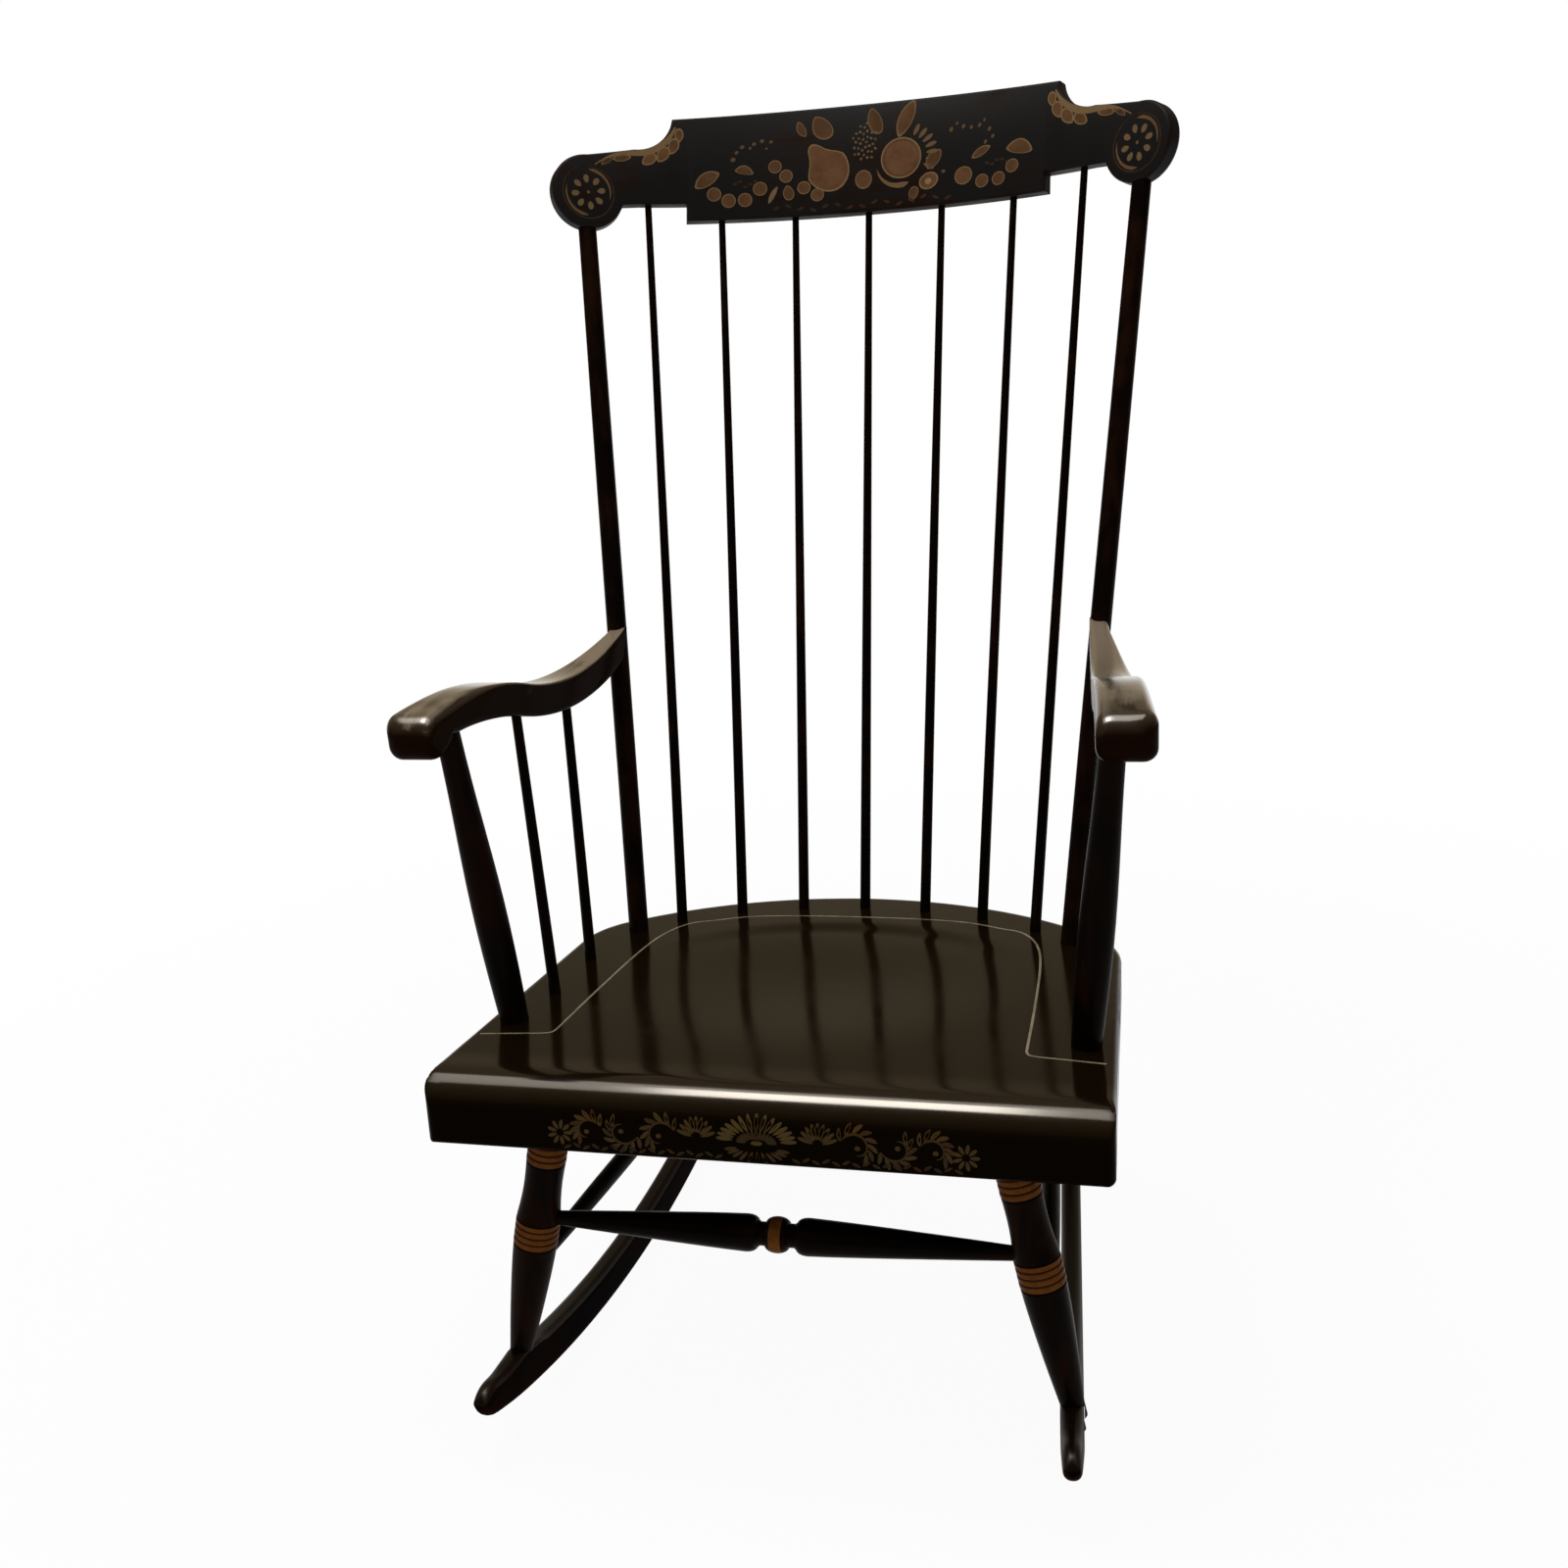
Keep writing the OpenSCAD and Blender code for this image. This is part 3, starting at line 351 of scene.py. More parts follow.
# Materials
def feed(tree, node, inputs):
    """Fills a node's sockets: an output of another node is linked, a constant is set"""
    for key, value in inputs.items():
        if isinstance(value, bpy.types.NodeSocket):
            tree.links.new(value, node.inputs[key])
        elif value is not None:
            node.inputs[key].default_value = value


def add(tree, kind, place, inputs=None, **settings):
    n = tree.nodes.new(kind)
    n.location = place
    for key, value in settings.items():
        setattr(n, key, value)
    feed(tree, n, inputs or {})
    return n


def new_group(name, inputs, outputs):
    tree = bpy.data.node_groups.new(name, "ShaderNodeTree")
    for way, sockets in (("INPUT", inputs), ("OUTPUT", outputs)):
        for label, kind, value in sockets:
            socket = tree.interface.new_socket(label, in_out=way, socket_type="NodeSocket" + kind)
            if value is not None:
                socket.default_value = value
    source = add(tree, "NodeGroupInput", (-1400, 0))
    return tree, source.outputs, add(tree, "NodeGroupOutput", (700, 0))


def place_group(tree, name, make, place, inputs):
    """Places a node group that is made once and shared"""
    return add(tree, "ShaderNodeGroup", place, inputs,
               node_tree=bpy.data.node_groups.get(name) or make())


def mix_colour(tree, place, factor, a, b, blend="MIX"):
    return add(tree, "ShaderNodeMix", place, {0: factor, 6: a, 7: b},
               data_type="RGBA", blend_type=blend).outputs[2]


def maths(tree, place, operation, *values, clamp=False):
    return add(tree, "ShaderNodeMath", place, dict(enumerate(values)),
               operation=operation, use_clamp=clamp).outputs[0]


def ramp(tree, place, value, low, high):
    return add(tree, "ShaderNodeMapRange", place,
               {"Value": value, "From Min": low, "From Max": high},
               interpolation_type="SMOOTHSTEP").outputs["Result"]


def noise(tree, place, vector, scale, detail=4.0, roughness=0.55):
    return add(tree, "ShaderNodeTexNoise", place, {
        "Vector": vector, "Scale": scale, "Detail": detail,
        "Roughness": roughness}).outputs["Fac"]


def attribute(tree, place, name):
    return add(tree, "ShaderNodeAttribute", place, attribute_name=name).outputs["Fac"]


LOOK = [("Color", "Color", None), ("Roughness", "Float", None), ("Height", "Float", None)]


def lacquer_group():
    """Old lacquer: cloudy patches, streaks along the grain, fine pores and rubbed places, which on
    the arms also stand in for a painted sheen
    """
    tree, given, result = new_group("Old lacquer", [
        ("Position", "Vector", None), ("Stretch", "Vector", (1.0, 1.0, 0.1)),
        ("Lacquer", "Color", None), ("Undertone", "Color", None),
        ("Wear", "Float", 0.3), ("Edge", "Float", 0.0), ("Gloss", "Float", 0.3)], LOOK)
    stretched = add(tree, "ShaderNodeVectorMath", (-1150, -200),
                    {0: given["Position"], 1: given["Stretch"]}, operation="MULTIPLY").outputs[0]
    cloud = noise(tree, (-950, 250), given["Position"], 11.0, 3.0)
    streak = noise(tree, (-950, 0), stretched, 90.0, 5.0, 0.6)
    pores = noise(tree, (-950, -250), stretched, 420.0, 2.0)
    specks = noise(tree, (-950, -500), given["Position"], 260.0, 3.0, 0.7)
    base = maths(tree, (-700, 120), "MULTIPLY_ADD", cloud, 0.55,
                 maths(tree, (-850, -80), "MULTIPLY", streak, 0.45))
    # Edge lightens the lacquer towards the undertone: real rubbing on edges, and on the arms a
    # painted sheen on their tops
    rubbed = maths(tree, (-520, 120), "ADD", base,
                   maths(tree, (-700, -80), "MULTIPLY", given["Edge"], 0.16))
    lifted = maths(tree, (-360, 120), "MULTIPLY_ADD", given["Wear"], 0.32, rubbed)
    chips = maths(tree, (-40, -160), "MULTIPLY", ramp(tree, (-200, -160), specks, 0.68, 0.76),
                  given["Wear"])
    mask = maths(tree, (0, 60), "MAXIMUM", ramp(tree, (-200, 120), lifted, 0.54, 0.72), chips,
                 clamp=True)
    rough = maths(tree, (60, -320), "MULTIPLY_ADD", cloud, 0.16,
                  maths(tree, (-100, -420), "SUBTRACT", given["Gloss"], 0.08))
    feed(tree, result, {
        "Color": mix_colour(tree, (240, 160), mask, given["Lacquer"], given["Undertone"]),
        "Roughness": maths(tree, (260, -320), "MULTIPLY_ADD", mask, 0.14, rough, clamp=True),
        "Height": maths(tree, (260, -560), "MULTIPLY_ADD", pores, 0.35, streak)})
    return tree


def bronze_group():
    """Stencilled bronze powder: a brighter rim, a duller middle and a fine dusty grain"""
    tree, given, result = new_group("Bronze powder", [
        ("Position", "Vector", None), ("Bronze", "Color", None), ("Rim colour", "Color", None),
        ("Warm colour", "Color", None), ("Rim", "Float", 0.0), ("Tone", "Float", 0.5)], LOOK)
    dust = noise(tree, (-900, 200), given["Position"], 700.0, 3.0, 0.7)
    patch = noise(tree, (-900, -50), given["Position"], 45.0, 3.0)
    body = mix_colour(tree, (-600, 200), ramp(tree, (-760, -200), patch, 0.35, 0.65),
                      given["Bronze"], given["Warm colour"])
    rim = ramp(tree, (-600, -60), given["Rim"], 0.25, 0.85)
    colour = mix_colour(tree, (-380, 160), rim, body, given["Rim colour"])
    dim = maths(tree, (-200, -100), "MULTIPLY",
                maths(tree, (-380, -100), "MULTIPLY_ADD", dust, 0.7, 0.62),
                maths(tree, (-380, -300), "MULTIPLY_ADD", given["Tone"], 1.1, 0.12))
    grey = add(tree, "ShaderNodeCombineColor", (-20, -100), {0: dim, 1: dim, 2: dim})
    feed(tree, result, {
        "Color": mix_colour(tree, (180, 160), 1.0, colour, grey.outputs[0], "MULTIPLY"),
        "Roughness": maths(tree, (180, -200), "MULTIPLY_ADD", dust, 0.25, 0.32),
        "Height": dust})
    return tree


def ring_group():
    """Painted rings round a turned piece, at places measured along its axis"""
    tree, given, result = new_group("Painted rings", [
        ("Position", "Vector", None), ("Axis", "Vector", None), ("Foot", "Float", 0.0),
        ("First", "Float", 0.0), ("Second", "Float", 0.0)],
        [("Paint", "Float", None), ("Groove", "Float", None)])
    dot = add(tree, "ShaderNodeVectorMath", (-1150, 0),
              {0: given["Position"], 1: given["Axis"]}, operation="DOT_PRODUCT")
    along = maths(tree, (-950, 0), "SUBTRACT", dot.outputs["Value"], given["Foot"])
    paints, grooves = [], []
    for low, start in ((0, "First"), (-260, "Second")):
        z = maths(tree, (-750, low), "SUBTRACT", along, given[start])
        turn = maths(tree, (-580, low), "DIVIDE", z, RING_PITCH)
        band = maths(tree, (-260, low), "LESS_THAN", maths(tree, (-420, low), "FRACT", turn),
                     RING_BAND / RING_PITCH)
        inside = maths(tree, (-260, low - 130), "COMPARE", turn, 2.0, 1.9)
        paints.append(maths(tree, (-80, low), "MULTIPLY", band, inside))
        grooves.append(maths(tree, (-80, low - 130), "SUBTRACT", inside, paints[-1]))
    feed(tree, result, {"Paint": maths(tree, (260, 0), "ADD", *paints),
                        "Groove": maths(tree, (260, -200), "ADD", *grooves)})
    return tree


def cleared(owner):
    """The emptied node tree of a material or world"""
    owner.use_nodes = True
    owner.node_tree.nodes.clear()
    return owner.node_tree


def finish(name, principled, bump, strength):
    """A material with its shader, a bump and object coordinates"""
    mat = bpy.data.materials.new(name)
    tree = cleared(mat)
    relief = add(tree, "ShaderNodeBump", (180, -300), {"Strength": strength, "Distance": bump})
    shader = add(tree, "ShaderNodeBsdfPrincipled", (400, 0),
                 {**principled, "Normal": relief.outputs[0]})
    add(tree, "ShaderNodeOutputMaterial", (700, 0), {"Surface": shader.outputs[0]})
    where = add(tree, "ShaderNodeTexCoord", (-900, 0))
    return mat, tree, shader, relief, where.outputs["Object"]


def wear_look(tree, shader, relief, group):
    """Gives the shader and its bump what a group of the look's sockets puts out"""
    look = group.outputs
    feed(tree, shader, {"Base Color": look["Color"], "Roughness": look["Roughness"]})
    feed(tree, relief, {"Height": look["Height"]})


def rgba(colour, share=1.0):
    return tuple(c * share for c in colour) + (1.0,)


def lacquered(name, colour, under, stretch, wear, gloss, shine=0.02, edge=None, bump=0.00012,
              tint=(1.0, 0.93, 0.86, 1.0), polish=None, rubbing_and_sheen=1.0):
    """Old lacquer; edge and polish name the attributes where it is rubbed, which on the arms is
    also a painted sheen, and where it shines
    """
    mat, tree, shader, relief, where = finish(
        name, {"Specular IOR Level": shine, "IOR": 1.5, "Specular Tint": tint}, bump, 0.25)
    inputs = {"Position": where, "Stretch": stretch, "Lacquer": rgba(colour),
              "Undertone": rgba(under), "Wear": wear, "Gloss": gloss}
    if edge:
        # On the arms this scaled edge mask paints their tops lighter as a sheen, besides the
        # rubbed wear
        inputs["Edge"] = maths(tree, (-500, -300), "MULTIPLY",
                               attribute(tree, (-700, -300), edge), rubbing_and_sheen)
    if polish:
        feed(tree, shader, {"Specular IOR Level": maths(
            tree, (0, 300), "MULTIPLY_ADD", attribute(tree, (-200, 300), polish),
            shine * 0.996, shine * 0.004)})
    lac = place_group(tree, "Old lacquer", lacquer_group, (-300, 0), inputs)
    wear_look(tree, shader, relief, lac)
    return mat, tree, shader, lac, where


def black_lacquer(context, name, stretch, wear, gloss, **more):
    """The turned pieces' lacquer, stretched along their grain"""
    colours = context.scene.chair_finishes
    return lacquered(name, colours.lacquer, colours.undertone, stretch, wear, gloss, **more)


def dress(nodes, made):
    """Gives nodes of the frame the material that comes first in what was made"""
    for n in nodes:
        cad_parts[n].material_slots[0].material = made[0]


def both(name):
    return [f"{side}_{name}" for side, x in SIDES]


def chosen(context):
    return context.scene.chair_shapes, context.scene.chair_finishes


# Seat
def seat_outline():
    cx = SEAT_HALF - SEAT_TAPER - SEAT_CORNER_R
    cv = SEAT_ROW + sqrt((SEAT_BACK_R - SEAT_CORNER_R) ** 2 - cx ** 2)
    turn = degrees(atan2(cv - SEAT_ROW, cx))
    side = degrees(atan2(SEAT_TAPER, cv - SEAT_FRONT_R))
    half = (arc(SEAT_HALF - SEAT_FRONT_R, SEAT_FRONT_R, SEAT_FRONT_R, -90, 0, 8)
            + arc(cx, cv, SEAT_CORNER_R, side, turn, 14)
            + arc(0, SEAT_ROW, SEAT_BACK_R, turn, 90, 16)[1:])
    return half + [(-x, v) for x, v in reversed(half[:-1])]


def seat_top(x, v, hollow, slope):
    """How far the seat's top lies under its plane, from the rolled edge and the hollow"""
    share = 0.0
    reach = HOLLOW_BACK if v > HOLLOW_V else HOLLOW_FRONT
    t = min(1.0, hypot(x / HOLLOW_R, (v - HOLLOW_V) / reach))
    if v > HOLLOW_V:
        turn = (v - HOLLOW_V) / max(0.001, hypot(x, v - HOLLOW_V))
        share = 0.6 * turn ** 2 * t
    rim = part_of(1 - t, 0.0, slope / HOLLOW_BACK)
    deep = (1 - t * t) ** 2 * (1 - share) + eased(rim) * share
    roll = ROLL_R - sqrt(max(0.0, ROLL_R ** 2 - (ROLL_R - v) ** 2)) if v < ROLL_R else 0.0
    return roll, hollow * deep


def seat_bottom(v):
    if v < ROLL_L:
        return -ROLL_H
    return min(-SEAT_THICK, -ROLL_H + (v - ROLL_L)) if v < ROLL_L + ROLL_STEP else -SEAT_THICK


class CHAIR_OT_seat(bpy.types.Operator):
    """Plank seat with a rolled front edge and a shallow hollow"""
    bl_idname = "chair.seat"
    bl_label = "Seat"

    def execute(self, context):
        shapes, colours = chosen(context)
        outline = seat_outline()
        r = shapes.seat_edge
        rows = [ROLL_R * (1 - cos(radians(a))) for a in range(6, 91, 7)]
        rows += steps(ROLL_R, ROLL_L, 0.008)
        rows += [ROLL_L, ROLL_L + ROLL_STEP / 2, ROLL_L + ROLL_STEP]
        rows += steps(rows[-1], SEAT_LONG, 0.0055)
        bm = cut_blank(outline, [r * t for t in (0.07, 0.13, 0.2, 0.27, 0.33, 0.5)], rows,
                       steps(-SEAT_HALF, SEAT_HALF, 0.008))
        thicken(bm)
        rim = bm.verts.layers.float.new("rim")
        gloss = bm.verts.layers.float.new("gloss")
        for p in bm.verts:
            x, v, layer = p.co
            upper, d = layer > -BLANK_T / 2, from_edge(outline, x, v)
            if upper:
                roll, hollow = seat_top(x, v, shapes.hollow_depth, shapes.hollow_slope)
                w = -max(roll, rounding(d, r)) - hollow
            else:
                w = seat_bottom(v) + max(rounding(d, 0.4 * r), rounding(max(v, 0.0), ROLL_FOOT_R))
            p[rim] = max(0.0, 1 - d / 0.014) * (0.35 if v < 0.014 else 1.0)
            # The gloss attribute sets the shine, and below it also marks where the seat gets its
            # painted shade
            p[gloss] = min(1.0, max(0.0, v - 0.003) / 0.012, d / r) * upper
            p[gloss] *= 1 - 0.75 * part_of(v, 0.028, 0.058)
            p.co = deck(x, v, w)
        made = lacquered(
            "Seat lacquer", colours.seat, colours.undertone, (0.12, 1.0, 1.0), -0.15, 0.13,
            shine=0.9, edge="rim", bump=0.00004, tint=(1.0, 0.93, 0.83, 1.0), polish="gloss")
        mat, tree, shader, lac, where = made
        # Painted shade: where gloss is low, on the front face under the roll and on the underside,
        # the base colour is a darker copy of the seat lacquer at 70 %
        top = ramp(tree, (0, 500), attribute(tree, (-200, 500), "gloss"), 0.0, 0.2)
        feed(tree, shader, {"Base Color": mix_colour(
            tree, (200, 300), top, rgba(colours.seat, 0.7), lac.outputs["Color"])})
        piece(bm, "seat_plank", mat, replaces=("seat",))
        return {"FINISHED"}


# Crest rail
def panel_s(x):
    return CREST_R * asin(x / CREST_AXIS)


def cove_place(angle, inset=0.0):
    """A place along the hollow between the panel and the shoulder, or inside its edge"""
    a, r = radians(angle), COVE_R + inset
    return panel_s(PANEL_X + COVE_R + r * cos(a)), PANEL_H - PANEL_DROP + COVE_LIFT + r * sin(a)


def crest_outline():
    foot_z = PANEL_STEP - PANEL_FOOT_DROP
    top = [(panel_s(PANEL_X * i / 12), PANEL_H - PANEL_DROP * (i / 12) ** 2) for i in range(13)]
    cove = [cove_place(COVE_START + (270 - COVE_START) * i / 12) for i in range(1, 13)]
    ear = arc(EAR_S, EAR_H, EAR_R, 88, -164, 44)
    foot = [(panel_s(PANEL_FOOT_X + SHOULDER_L), foot_z - SHOULDER_DROP),
            (panel_s(PANEL_FOOT_X), foot_z)]
    low = [(panel_s(PANEL_FOOT_X * i / 10), -PANEL_FOOT_DROP * (i / 10) ** 2)
           for i in range(10, -1, -1)]
    half = top + cove + ear + foot + low
    return list(reversed(half + [(-s, h) for s, h in reversed(half[1:-1])]))


class CHAIR_OT_crest_rail(bpy.types.Operator):
    """Bent crest rail with a tall middle panel, hollowed shoulders and round ears"""
    bl_idname = "chair.crest_rail"
    bl_label = "Crest rail"

    def execute(self, context):
        shapes, colours = chosen(context)
        outline = crest_outline()
        r, span = shapes.crest_edge, EAR_S + EAR_R
        bm = cut_blank(outline, [r * t for t in (0.1, 0.2, 0.3, 0.4)], (),
                       steps(-span, span, 0.0095))
        thicken(bm)
        rim = bm.verts.layers.float.new("rim")
        for p in bm.verts:
            s, h, layer = p.co
            d = from_edge(outline, s, h)
            soft = rounding(d, r)
            p[rim] = max(0.0, 1 - d / 0.006)
            p.co = crest_point(s, h, soft if layer > -BLANK_T / 2 else CREST_T - soft)
        mat = lacquered("Crest lacquer", colours.panel, colours.undertone, (0.1, 1.0, 1.0),
                        -0.12, 0.4, shine=0.06, edge="rim", bump=0.00008,
                        tint=(1.0, 1.0, 1.0, 1.0))[0]
        piece(bm, "crest_board", mat, replaces=("crest_rail",))
        return {"FINISHED"}


# Arms
def arm_bend(t):
    """Where the arm's dip turns into its hump, t below its top"""
    return DIP_C + (HUMP_C - DIP_C) * (DIP_R + t) / (DIP_R + HUMP_R)


def arm_z(y, t):
    if y > arm_bend(t).x:
        return DIP_C.y - sqrt((DIP_R + t) ** 2 - (y - DIP_C.x) ** 2)
    return HUMP_C.y + sqrt((HUMP_R - t) ** 2 - (y - HUMP_C.x) ** 2)


def arm_sides(y):
    """Inner and outer edge of the arm seen from above, at a place along it"""
    full = ARM_END + ARM_CORNER_OUT
    t = max(0.0, max(y, full) / full)
    inner = -ARM_W / 2 + (ARM_IN + ARM_W / 2) * max(y, ARM_END) / SCROLL_C.x
    outer = ARM_W / 2 + (ARM_OUT - ARM_W / 2) * t + ARM_BULGE * 6.75 * t * (1 - t) ** 2
    past = max(0.0, y - ARM_END)
    return inner + rounding(past, ARM_CORNER_IN), outer - rounding(past, ARM_CORNER_OUT)


def arm_heights(y):
    """Underside and top of the arm at a place along it, with its rolled end"""
    reach = 0
    if y < SCROLL_C.x + SCROLL_R:
        reach = sqrt(max(0.0, SCROLL_R ** 2 - (y - SCROLL_C.x) ** 2))
    top = arm_z(y, 0) if y > SCROLL_TOP else SCROLL_C.y + reach
    under = arm_z(y, ARM_T) if y > SCROLL_C.x else 1.0
    return min(under, SCROLL_C.y - reach) if reach else under, top


class CHAIR_OT_arms(bpy.types.Operator):
    """Two scrolled arms with soft knuckles"""
    bl_idname = "chair.arms"
    bl_label = "Arms"

    def execute(self, context):
        shapes, colours = chosen(context)
        r = shapes.arm_edge
        lean = POST_DIR.y / POST_DIR.z
        places = [SCROLL_C.x - SCROLL_R * cos(radians(a)) for a in range(4, 132, 6)]
        places += steps(places[-1], POST_R, 0.007) + [POST_R]
        rings = []
        for y in places:
            inner, outer = arm_sides(y)
            under, top = arm_heights(y)
            # The edges grow softer towards the knuckle
            soft = eased(part_of(y, -0.235, -0.335))
            low = 0.0045 + 0.0055 * soft
            rings.append((y, section(inner, outer, under, top, (
                r + 0.0055 * soft, 0.0026 + 0.008 * soft, low, low))))
        # The strong rubbing below paints the tops in the light arm wood colour, partly rubbed wood
        # and partly a painted sheen
        mat, tree, shader = lacquered(
            "Rubbed arm lacquer with painted sheen", colours.arm_lacquer, colours.arm_wood_and_sheen, (1.0, 0.09, 1.0),
            -0.2, 0.15, shine=0.95, edge="rim", bump=0.0001, tint=(1.0, 0.92, 0.8, 1.0),
            polish="gloss", rubbing_and_sheen=1.9)[:3]
        feed(tree, shader, {"Coat Weight": attribute(tree, (0, 500), "gloss"),
                            "Coat Roughness": 0.24})
        for name, side in SIDES:
            def spread(y, x, z):
                back = y + z * lean * max(0.0, 1 - (POST_R - y) / 0.035) ** 2
                return side * (ARM_O.x + x), ARM_Y + back, ARM_O.z + z
            bm = loft(rings, spread)
            rim, gloss = bm.verts.layers.float["rim"], bm.verts.layers.float["gloss"]
            # Painted sheen: rim follows the upward-facing gloss and grows towards the rear, so the
            # arms' tops are painted lighter as if lit from above; it also stands for some rubbed
            # wear
            for v in bm.verts:
                v[rim] = v[gloss] * (0.62 + 0.38 * part_of(v.co.y - ARM_Y, -0.24, -0.10))
            piece(bm, name + "_arm_rest", mat, replaces=(name + "_arm",))
        return {"FINISHED"}


# The turned pieces keep the solids of the frame and get their finish here
class CHAIR_OT_back(bpy.types.Operator):
    """Finish of the back posts and spindles"""
    bl_idname = "chair.back"
    bl_label = "Back posts and spindles"

    def execute(self, context):
        dress(both("back_post"),
              black_lacquer(context, "Post lacquer", (1.0, 1.0, 0.07), 0.34, 0.32))
        dress([f"back_spindle_{i}" for i in range(1, 8)],
              black_lacquer(context, "Spindle lacquer", (1.0, 1.0, 0.05), 0.12, 0.34))
        return {"FINISHED"}


class CHAIR_OT_arm_supports(bpy.types.Operator):
    """Finish of the arm posts and arm spindles"""
    bl_idname = "chair.arm_supports"
    bl_label = "Arm posts and spindles"

    def execute(self, context):
        dress(both("arm_post"),
              black_lacquer(context, "Arm post lacquer", (1.0, 1.0, 0.08), 0.36, 0.33))
        dress(both("arm_spindle_front") + both("arm_spindle_rear"),
              black_lacquer(context, "Arm spindle lacquer", (1.0, 1.0, 0.05), 0.2, 0.34))
        return {"FINISHED"}


def gild(context, made, paint, groove):
    """Gold paint over a lacquer where the mask says so"""
    tree, shader, lac, where = made[1:]
    gold = context.scene.chair_finishes.ring_gold
    worn = noise(tree, (-600, 700), where, 130.0, 4.0, 0.65)
    tint = mix_colour(tree, (-350, 500), ramp(tree, (-480, 640), worn, 0.35, 0.68),
                      rgba(gold), rgba(gold, 0.7))
    ground = mix_colour(tree, (-180, 500), groove, lac.outputs["Color"], (0.04, 0.012, 0.004, 1.0))
    mask = maths(tree, (-180, 700), "MULTIPLY", paint, ramp(tree, (-350, 760), worn, 0.22, 0.34))
    feed(tree, shader, {"Base Color": mix_colour(tree, (100, 300), mask, ground, tint)})


class CHAIR_OT_legs(bpy.types.Operator):
    """Finish of the turned legs, with gold rings"""
    bl_idname = "chair.legs"
    bl_label = "Legs"

    def execute(self, context):
        for side, x in SIDES:
            for end, (head, foot) in LEG_ENDS.items():
                a, b = (Vector((p.x * x, p.y, p.z)) for p in (head, foot))
                axis, length = (b - a).normalized(), (b - a).length
                made = black_lacquer(context, f"Ringed leg lacquer {side} {end}",
                                     (1.0, 1.0, 0.12), 0.3, 0.3)
                rings = place_group(made[1], "Painted rings", ring_group, (-600, 350), {
                    "Position": made[4], "Axis": axis, "Foot": axis.dot(a),
                    "First": length * LEG_RINGS[0], "Second": length * LEG_RINGS[1]})
                gild(context, made, rings.outputs["Paint"], rings.outputs["Groove"])
                dress([f"{side}_{end}_leg"], made)
        return {"FINISHED"}


# Half the width of the front stretcher's bead
BEAD_HALF = 0.0048



class CHAIR_OT_stretchers(bpy.types.Operator):
    """Finish of the stretchers, with a gold band on the front one's bead"""
    bl_idname = "chair.stretchers"
    bl_label = "Stretchers"

    def execute(self, context):
        made = black_lacquer(context, "Front stretcher lacquer", (0.1, 1.0, 1.0), 0.16, 0.3)
        tree = made[1]
        axes = add(tree, "ShaderNodeSeparateXYZ", (-700, 500), {0: made[4]})
        gild(context, made, maths(tree, (-520, 420), "COMPARE", axes.outputs["X"], 0.0, BEAD_HALF),
             0.0)
        dress(["front_stretcher"], made)
        dress(["rear_stretcher"],
              black_lacquer(context, "Rear stretcher lacquer", (0.08, 1.0, 1.0), 0.24, 0.36))
        dress(both("side_stretcher"),
              black_lacquer(context, "Side stretcher lacquer", (1.0, 0.08, 1.0), 0.3, 0.34))
        return {"FINISHED"}


class CHAIR_OT_rockers(bpy.types.Operator):
    """Two bent rockers with well-rounded edges and soft noses"""
    bl_idname = "chair.rockers"
    bl_label = "Rockers"

    def execute(self, context):
        r = context.scene.chair_shapes.rocker_edge
        front = ROCK_R * asin(ROCK_FRONT / (ROCK_R - ROCK_H / 2))
        rear = ROCK_R * asin(ROCK_REAR / (ROCK_R - ROCK_H / 2))

        def ring(s, share):
            nose = eased(part_of(-s, 0.247, front - ROCK_END))
            tail = eased(part_of(s, 0.3, rear - ROCK_END))
            high = ROCK_H - (ROCK_H - NOSE_H) * nose - (ROCK_H - TAIL_H) * tail
            half = ROCK_HALF - ROCK_SLIM * eased(part_of(-s, 0.25, 0.31))
            half *= 0.66 + 0.34 * share ** 0.6
            # The top's edges stay crisp where a leg stands on them
            foot = max(0.0, 1 - min(abs(s - place) for place in FEET) / FOOT_REACH)
            upper = r + (0.003 - r) * min(1.0, 2.2 * foot)
            return s, section(-half, half, high / 2 * (1 - share), high / 2 * (1 + share),
                              (upper, upper, r, r))

        turn = [radians(a) for a in (4, 10, 18, 27, 37, 48, 60, 74, 90)]
        rings = [ring(ROCK_END - front - ROCK_END * cos(a), sin(a)) for a in turn]
        rings += [ring(s, 1.0) for s in steps(ROCK_END - front, rear - ROCK_END, 0.0085)]
        rings += [ring(rear - ROCK_END + ROCK_END * cos(a), sin(a)) for a in reversed(turn)]
        mat = black_lacquer(context, "Rocker lacquer", (1.0, 0.08, 1.0), 0.2, 0.3,
                            shine=0.3, edge="rim", polish="gloss")[0]
        for name, side in SIDES:
            def spread(s, w, h):
                a, swing = s / ROCK_R, ROCK_R - h
                q, z = swing * sin(a), ROCK_R - swing * cos(a)
                return (side * (ROCK_X - q * sin(ROCK_TOE) + w * cos(ROCK_TOE)),
                        ROCK_Y + q * cos(ROCK_TOE) + w * sin(ROCK_TOE), z)
            piece(loft(rings, spread), name + "_bent_rocker", mat,
                  replaces=(name + "_rocker",))
        return {"FINISHED"}


